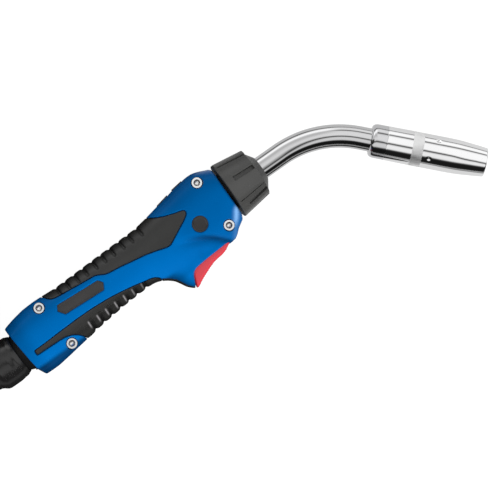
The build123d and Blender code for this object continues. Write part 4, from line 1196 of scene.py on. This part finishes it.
# darker steel for the walls of the hex sockets: painted shade inside the sockets
M["socket"] = plated("socket_shade_steel", (0.27, 0.25, 0.25, 1), 0.35, 0.08, 0.004, 1200)
M["steel"] = plated("steel", (0.62, 0.62, 0.63, 1), 0.28, 0.06, 0.006, 900)
M["brass"] = plated("brass", (0.80, 0.58, 0.25, 1), 0.24, 0.06, 0.004, 900)
M["copper"] = plated("copper", (0.86, 0.47, 0.32, 1), 0.26, 0.08, 0.004, 900)


def paint(obj, m):
    obj.data.materials.clear()
    obj.data.materials.append(M[m])


for ob, m in ((right_shell, "blue"), (left_shell, "blue"), (right_top, "grip"), (left_top, "grip"), (right_low, "grip"),
              (left_low, "grip"), (right_strip, "grip"), (left_strip, "grip"), (right_label, "plate"), (left_label, "plate"), (right_emblem, "plate"), (left_emblem, "plate"),
              (trigger, "trigger"), (union, "nut"), (neck, "neck"), (collar, "collar"), (screws, "screw"),
              (boot, "boot"), (ties, "strap"), (guard, "black"), (hose, "hose")):
    paint(ob, m)
# the socket walls of each screw take the darker steel: painted shade
screws.data.materials.append(M["socket"])
idx = np.arange(len(screws.data.polygons)) % screw_polys
first = screw_polys - 48 * 5
screws.data.polygons.foreach_set("material_index", ((idx >= first) & (idx < first + 48 * 3)).astype(np.int32))
paint(nozzle, "nozzle")
nozzle.data.materials.append(M["matt"])
co = np.zeros(len(nozzle.data.vertices) * 3, np.float32)
nozzle.data.vertices.foreach_get("co", co)
co = co.reshape(-1, 3) * 1000 + ORIGIN
s_along = (co - NOZ0) @ AX
r_at = np.linalg.norm(co - NOZ0 - s_along[:, None] * AX, axis=1)
fv = np.zeros(len(nozzle.data.polygons) * 4, np.int32)
nozzle.data.polygons.foreach_get("vertices", fv)
fv = fv.reshape(-1, 4)
sc, rc_ = s_along[fv].mean(1), r_at[fv].mean(1)
nozzle.data.polygons.foreach_set("material_index", ((sc > 31.5) & (sc < 40.1) & (rc_ > 12.9)).astype(np.int32))

# central_block, swivel_ball and ball_seat_ring take the near-black painted shadow; central_block shows in the gap
# behind the union nut
NODE_LOOK = {
    "swivel_ball": "shade_black", "ball_seat_ring": "shade_black", "ball_sleeve": "brass", "hose_clamp": "steel",
    "connector_housing": "black", "connector_contact_block": "brass", "connector_ring_nut": "black",
    "connector_centre_tube": "brass", "connector_o_ring": "hose", "connector_control_pins": "brass", "connector_gas_pin": "brass",
    "handle_nuts": "steel", "spine_insert": "grip", "trigger_pin": "steel", "trigger_spring": "steel",
    "microswitch_body": "black", "microswitch_plunger": "trigger", "control_leads": "wire", "central_block": "shade_black",
    "cable_gland_nut": "brass", "inner_cable": "hose", "neck_insulation": "insul", "neck_core": "copper", "neck_flange": "brass",
    "neck_o_rings": "hose", "wire_liner": "steel", "gas_diffuser": "brass", "contact_tip": "copper", "nozzle_insulator": "insul",
    "nozzle_spring": "steel",
}
for name, look in NODE_LOOK.items():
    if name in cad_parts:
        paint(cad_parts[name], look)
for name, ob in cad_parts.items():
    if name not in NODE_LOOK:
        ob.data.materials.clear()
        ob.data.materials.append(M["black"])

# ---------------------------------------------------------------------------
# what stands for what, and what rides on what
# ---------------------------------------------------------------------------
def stands(ob, body, node_names):
    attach(ob, body)
    if node_names:
        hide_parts(*node_names)


stands(right_shell, "handle", ["right_shell"])
stands(left_shell, "handle", ["left_shell"])
stands(right_top, "handle", ["right_top_grip"])
stands(left_top, "handle", ["left_top_grip"])
stands(right_low, "handle", ["right_lower_grip"])
stands(left_low, "handle", ["left_lower_grip"])
stands(right_strip, "handle", [])
stands(left_strip, "handle", [])
stands(right_label, "handle", ["right_label_plate"])
stands(left_label, "handle", ["left_label_plate"])
stands(right_emblem, "handle", ["right_emblem_disc"])
stands(left_emblem, "handle", ["left_emblem_disc"])
stands(trigger, "trigger", ["trigger"])
stands(union, "union_nut", ["union_nut"])
stands(neck, "neck", ["neck_tube"])
stands(collar, "neck", ["neck_collar"])
stands(nozzle, "nozzle", ["gas_nozzle"])
stands(screws, "handle", ["handle_screws"])
stands(boot, "hose_package", ["cable_boot"])
stands(ties, "hose_package", ["coil_ties"])
stands(guard, "hose_package", ["connector_bend_guard"])
stands(hose, "hose_package", ["hose_tube", "hose_coil"])

# ---------------------------------------------------------------------------
# floor, world and light
# ---------------------------------------------------------------------------
fm = bpy.data.meshes.new("floor")
E = 6.0
fm.from_pydata([(-E, -E, -0.0003), (E, -E, -0.0003), (E, E, -0.0003), (-E, E, -0.0003)], [], [(0, 1, 2, 3)])
floor = bpy.data.objects.new("floor", fm)
bpy.context.scene.collection.objects.link(floor)
k = Nodes("pale_floor")
k.b.inputs["Roughness"].default_value = 0.9
k.b.inputs["Specular IOR Level"].default_value = 0.1
pale = k.ramp(k.noise(3.0, 2.0), [(0.3, (0.14, 0.14, 0.14)), (0.7, (0.15, 0.15, 0.15))])
k.b.inputs["Emission Color"].default_value = (1, 1, 1, 1)
seen = k.new("ShaderNodeLightPath")
sep = k.new("ShaderNodeSeparateXYZ")
k.link(k.tc.outputs["Object"], sep.inputs[0])


def fmath(op, a, b):
    m = k.new("ShaderNodeMath", operation=op)
    for sock, v in zip(m.inputs, (a, b)):
        if isinstance(v, (int, float)):
            sock.default_value = v
        else:
            k.link(v, sock)
    return m.outputs[0]


# the light that the floor throws up is less under and round the handle
cx, cy = row((-130.0, -10.0, 0.0))[:2]
ex = fmath("DIVIDE", fmath("SUBTRACT", sep.outputs["X"], float(cx)), 0.128)
ey = fmath("DIVIDE", fmath("SUBTRACT", sep.outputs["Y"], float(cy)), 0.100)
far = fmath("MAXIMUM", fmath("ABSOLUTE", ex, 0.0), fmath("ABSOLUTE", ey, 0.0))
under = k.range(far, 0.97, 1.03, 1.0, 0.0)


def patch(x, y, ax_, ay, lo, hi):
    """1 inside an oval on the floor, 0 outside it."""
    px, py = row((x, y, 0.0))[:2]
    u_ = fmath("DIVIDE", fmath("SUBTRACT", sep.outputs["X"], float(px)), ax_ / 1000.0)
    v_ = fmath("DIVIDE", fmath("SUBTRACT", sep.outputs["Y"], float(py)), ay / 1000.0)
    return k.range(fmath("ADD", fmath("MULTIPLY", u_, u_), fmath("MULTIPLY", v_, v_)), lo, hi, 1.0, 0.0)


near = patch(108.0, -28.0, 155.0, 150.0, 0.9, 1.15)
hollow_ = patch(42.0, -92.0, 50.0, 46.0, 0.75, 1.1)
near = fmath("MAXIMUM", near, patch(262.0, 22.0, 172.0, 172.0, 0.85, 1.1))
level = fmath("ADD", 0.06, fmath("MULTIPLY", near, 0.54))
level = fmath("MULTIPLY", level, fmath("SUBTRACT", 1.0, fmath("MULTIPLY", hollow_, 0.97)))
bounce = fmath("MULTIPLY", level, fmath("SUBTRACT", 1.0, fmath("MULTIPLY", under, 0.93)))
dim = fmath("MAXIMUM", under, hollow_)
dark_floor = k.mixc(dim, pale, (0.01, 0.01, 0.01, 1.0))
cam_ray = seen.outputs["Is Camera Ray"]
k.link(k.mixc(cam_ray, dark_floor, pale), k.b.inputs["Base Color"])
k.link(fmath("ADD", fmath("MULTIPLY", cam_ray, 0.93), fmath("MULTIPLY", fmath("SUBTRACT", 1.0, cam_ray), bounce)), k.b.inputs["Emission Strength"])
fm.materials.append(k.m)

world = bpy.data.worlds.new("studio")
bpy.context.scene.world = world
world.use_nodes = True
wt = world.node_tree
wt.nodes.clear()
wo = wt.nodes.new("ShaderNodeOutputWorld")
bg = wt.nodes.new("ShaderNodeBackground")
tc = wt.nodes.new("ShaderNodeTexCoord")


def wdot(vec):
    d = wt.nodes.new("ShaderNodeVectorMath")
    d.operation = "DOT_PRODUCT"
    d.inputs[1].default_value = vec
    wt.links.new(tc.outputs["Generated"], d.inputs[0])
    return d.outputs["Value"]


def wmath(op, a, b=None, c=None):
    m = wt.nodes.new("ShaderNodeMath")
    m.operation = op
    for s, v in zip(m.inputs, (a, b, c)):
        if v is None:
            continue
        if isinstance(v, (int, float)):
            s.default_value = v
        else:
            wt.links.new(v, s)
    return m.outputs[0]


du, dr, dz = wdot(UP), wdot(RIGHT), wdot((0, 0, 1))
theta = wmath("ARCTAN2", du, dz)
fac = wmath("MULTIPLY_ADD", theta, 1 / math.pi, 0.5)
TOPL = 1.6
BELOW = [(-90, .05), (-86, .02), (-78, .010), (-56, .012), (-50, .05), (-46, .32), (-42, .80), (-38, .95), (-20, 1.0)]
LEFT = BELOW + [(0, 1.0), (15, 1.05), (28, .9), (35, .74), (44, .75), (50, .85), (57, 1.2), (61, 1.5), (66, 1.6), (77, 1.55), (83, .9), (88, .4), (90, .35)]
RIGHTS = BELOW + [(0, 1.12), (38, 1.12), (46, .9), (50, .35), (52, .18), (55, .18), (57, .35), (61, .9), (66, 1.15), (80, 1.15), (86, .9), (90, .75)]


def light_ramp(stops):
    ramp = wt.nodes.new("ShaderNodeValToRGB")
    ramp.color_ramp.interpolation = "LINEAR"
    els = ramp.color_ramp.elements
    while len(els) < len(stops):
        els.new(0.5)
    for el, (deg, v) in zip(els, stops):
        el.position = deg / 180.0 + 0.5
        el.color = (v / TOPL, v / TOPL, v / TOPL, 1)
    wt.links.new(fac, ramp.inputs["Fac"])
    return ramp.outputs["Color"]


def wmix(f, a, b):
    m = wt.nodes.new("ShaderNodeMix")
    m.data_type = "RGBA"
    for sock, v in ((m.inputs[0], f), (m.inputs[6], a), (m.inputs[7], b)):
        if isinstance(v, tuple):
            sock.default_value = v
        else:
            wt.links.new(v, sock)
    return m.outputs[2]


side = wt.nodes.new("ShaderNodeMapRange")
side.interpolation_type = "SMOOTHSTEP"
for key, v in (("From Min", -0.02), ("From Max", 0.12), ("To Min", 0.0), ("To Max", 1.0)):
    side.inputs[key].default_value = v
wt.links.new(dr, side.inputs["Value"])
studio = wmix(side.outputs["Result"], light_ramp(LEFT), light_ramp(RIGHTS))
# the narrow gap between the overhead lights
over = wmath("MINIMUM", wmath("MAXIMUM", wmath("SUBTRACT", dr, 0.11), 0.0), 0.246)
gap = wmath("MULTIPLY", wmath("SUBTRACT", du, wmath("MULTIPLY_ADD", over, -0.9, -0.12)), 1 / 0.12)
dip = wmath("POWER", math.e, wmath("MULTIPLY", wmath("MULTIPLY", gap, gap), -1.0))
dip = wmath("MULTIPLY", dip, 0.93)
studio = wmix(dip, studio, (0.0, 0.0, 0.0, 1.0))
back = wmath("MULTIPLY", wmath("MINIMUM", wmath("MAXIMUM", wmath("MULTIPLY_ADD", dr, -7.0, -3.2), 0.0), 1.0),
             wmath("MINIMUM", wmath("MAXIMUM", wmath("MULTIPLY_ADD", wmath("ABSOLUTE", du), -8.0, 2.3), 0.0), 1.0))
studio = wmix(wmath("MULTIPLY", back, 0.93), studio, (0.0, 0.0, 0.0, 1.0))
lp = wt.nodes.new("ShaderNodeLightPath")
soft = wmath("MULTIPLY_ADD", wmath("POWER", wmath("MAXIMUM", dz, 0.0), 1.5), 0.84 / TOPL, 0.37 / TOPL)
grey = wt.nodes.new("ShaderNodeCombineColor")
for sock in grey.inputs:
    wt.links.new(soft, sock)
studio = wmix(lp.outputs["Is Diffuse Ray"], studio, grey.outputs[0])
shown = wmix(lp.outputs["Is Camera Ray"], studio, (0.99 / TOPL, 0.99 / TOPL, 0.99 / TOPL, 1))
wt.links.new(shown, bg.inputs["Color"])
bg.inputs["Strength"].default_value = TOPL
wt.links.new(bg.outputs[0], wo.inputs["Surface"])

key_data = bpy.data.lights.new("key", "AREA")
key_data.shape = "RECTANGLE"
key_data.size, key_data.size_y = 0.5, 0.5
key_data.energy = 12.0
key = bpy.data.objects.new("key", key_data)
bpy.context.scene.collection.objects.link(key)
key_from = Vector((-0.30, -0.90, 0.50))
key.location = centre + key_from
key.rotation_mode = "QUATERNION"
key.rotation_quaternion = key_from.to_track_quat("Z", "Y")
key.visible_glossy = False

bpy.context.scene.view_settings.view_transform = "Standard"
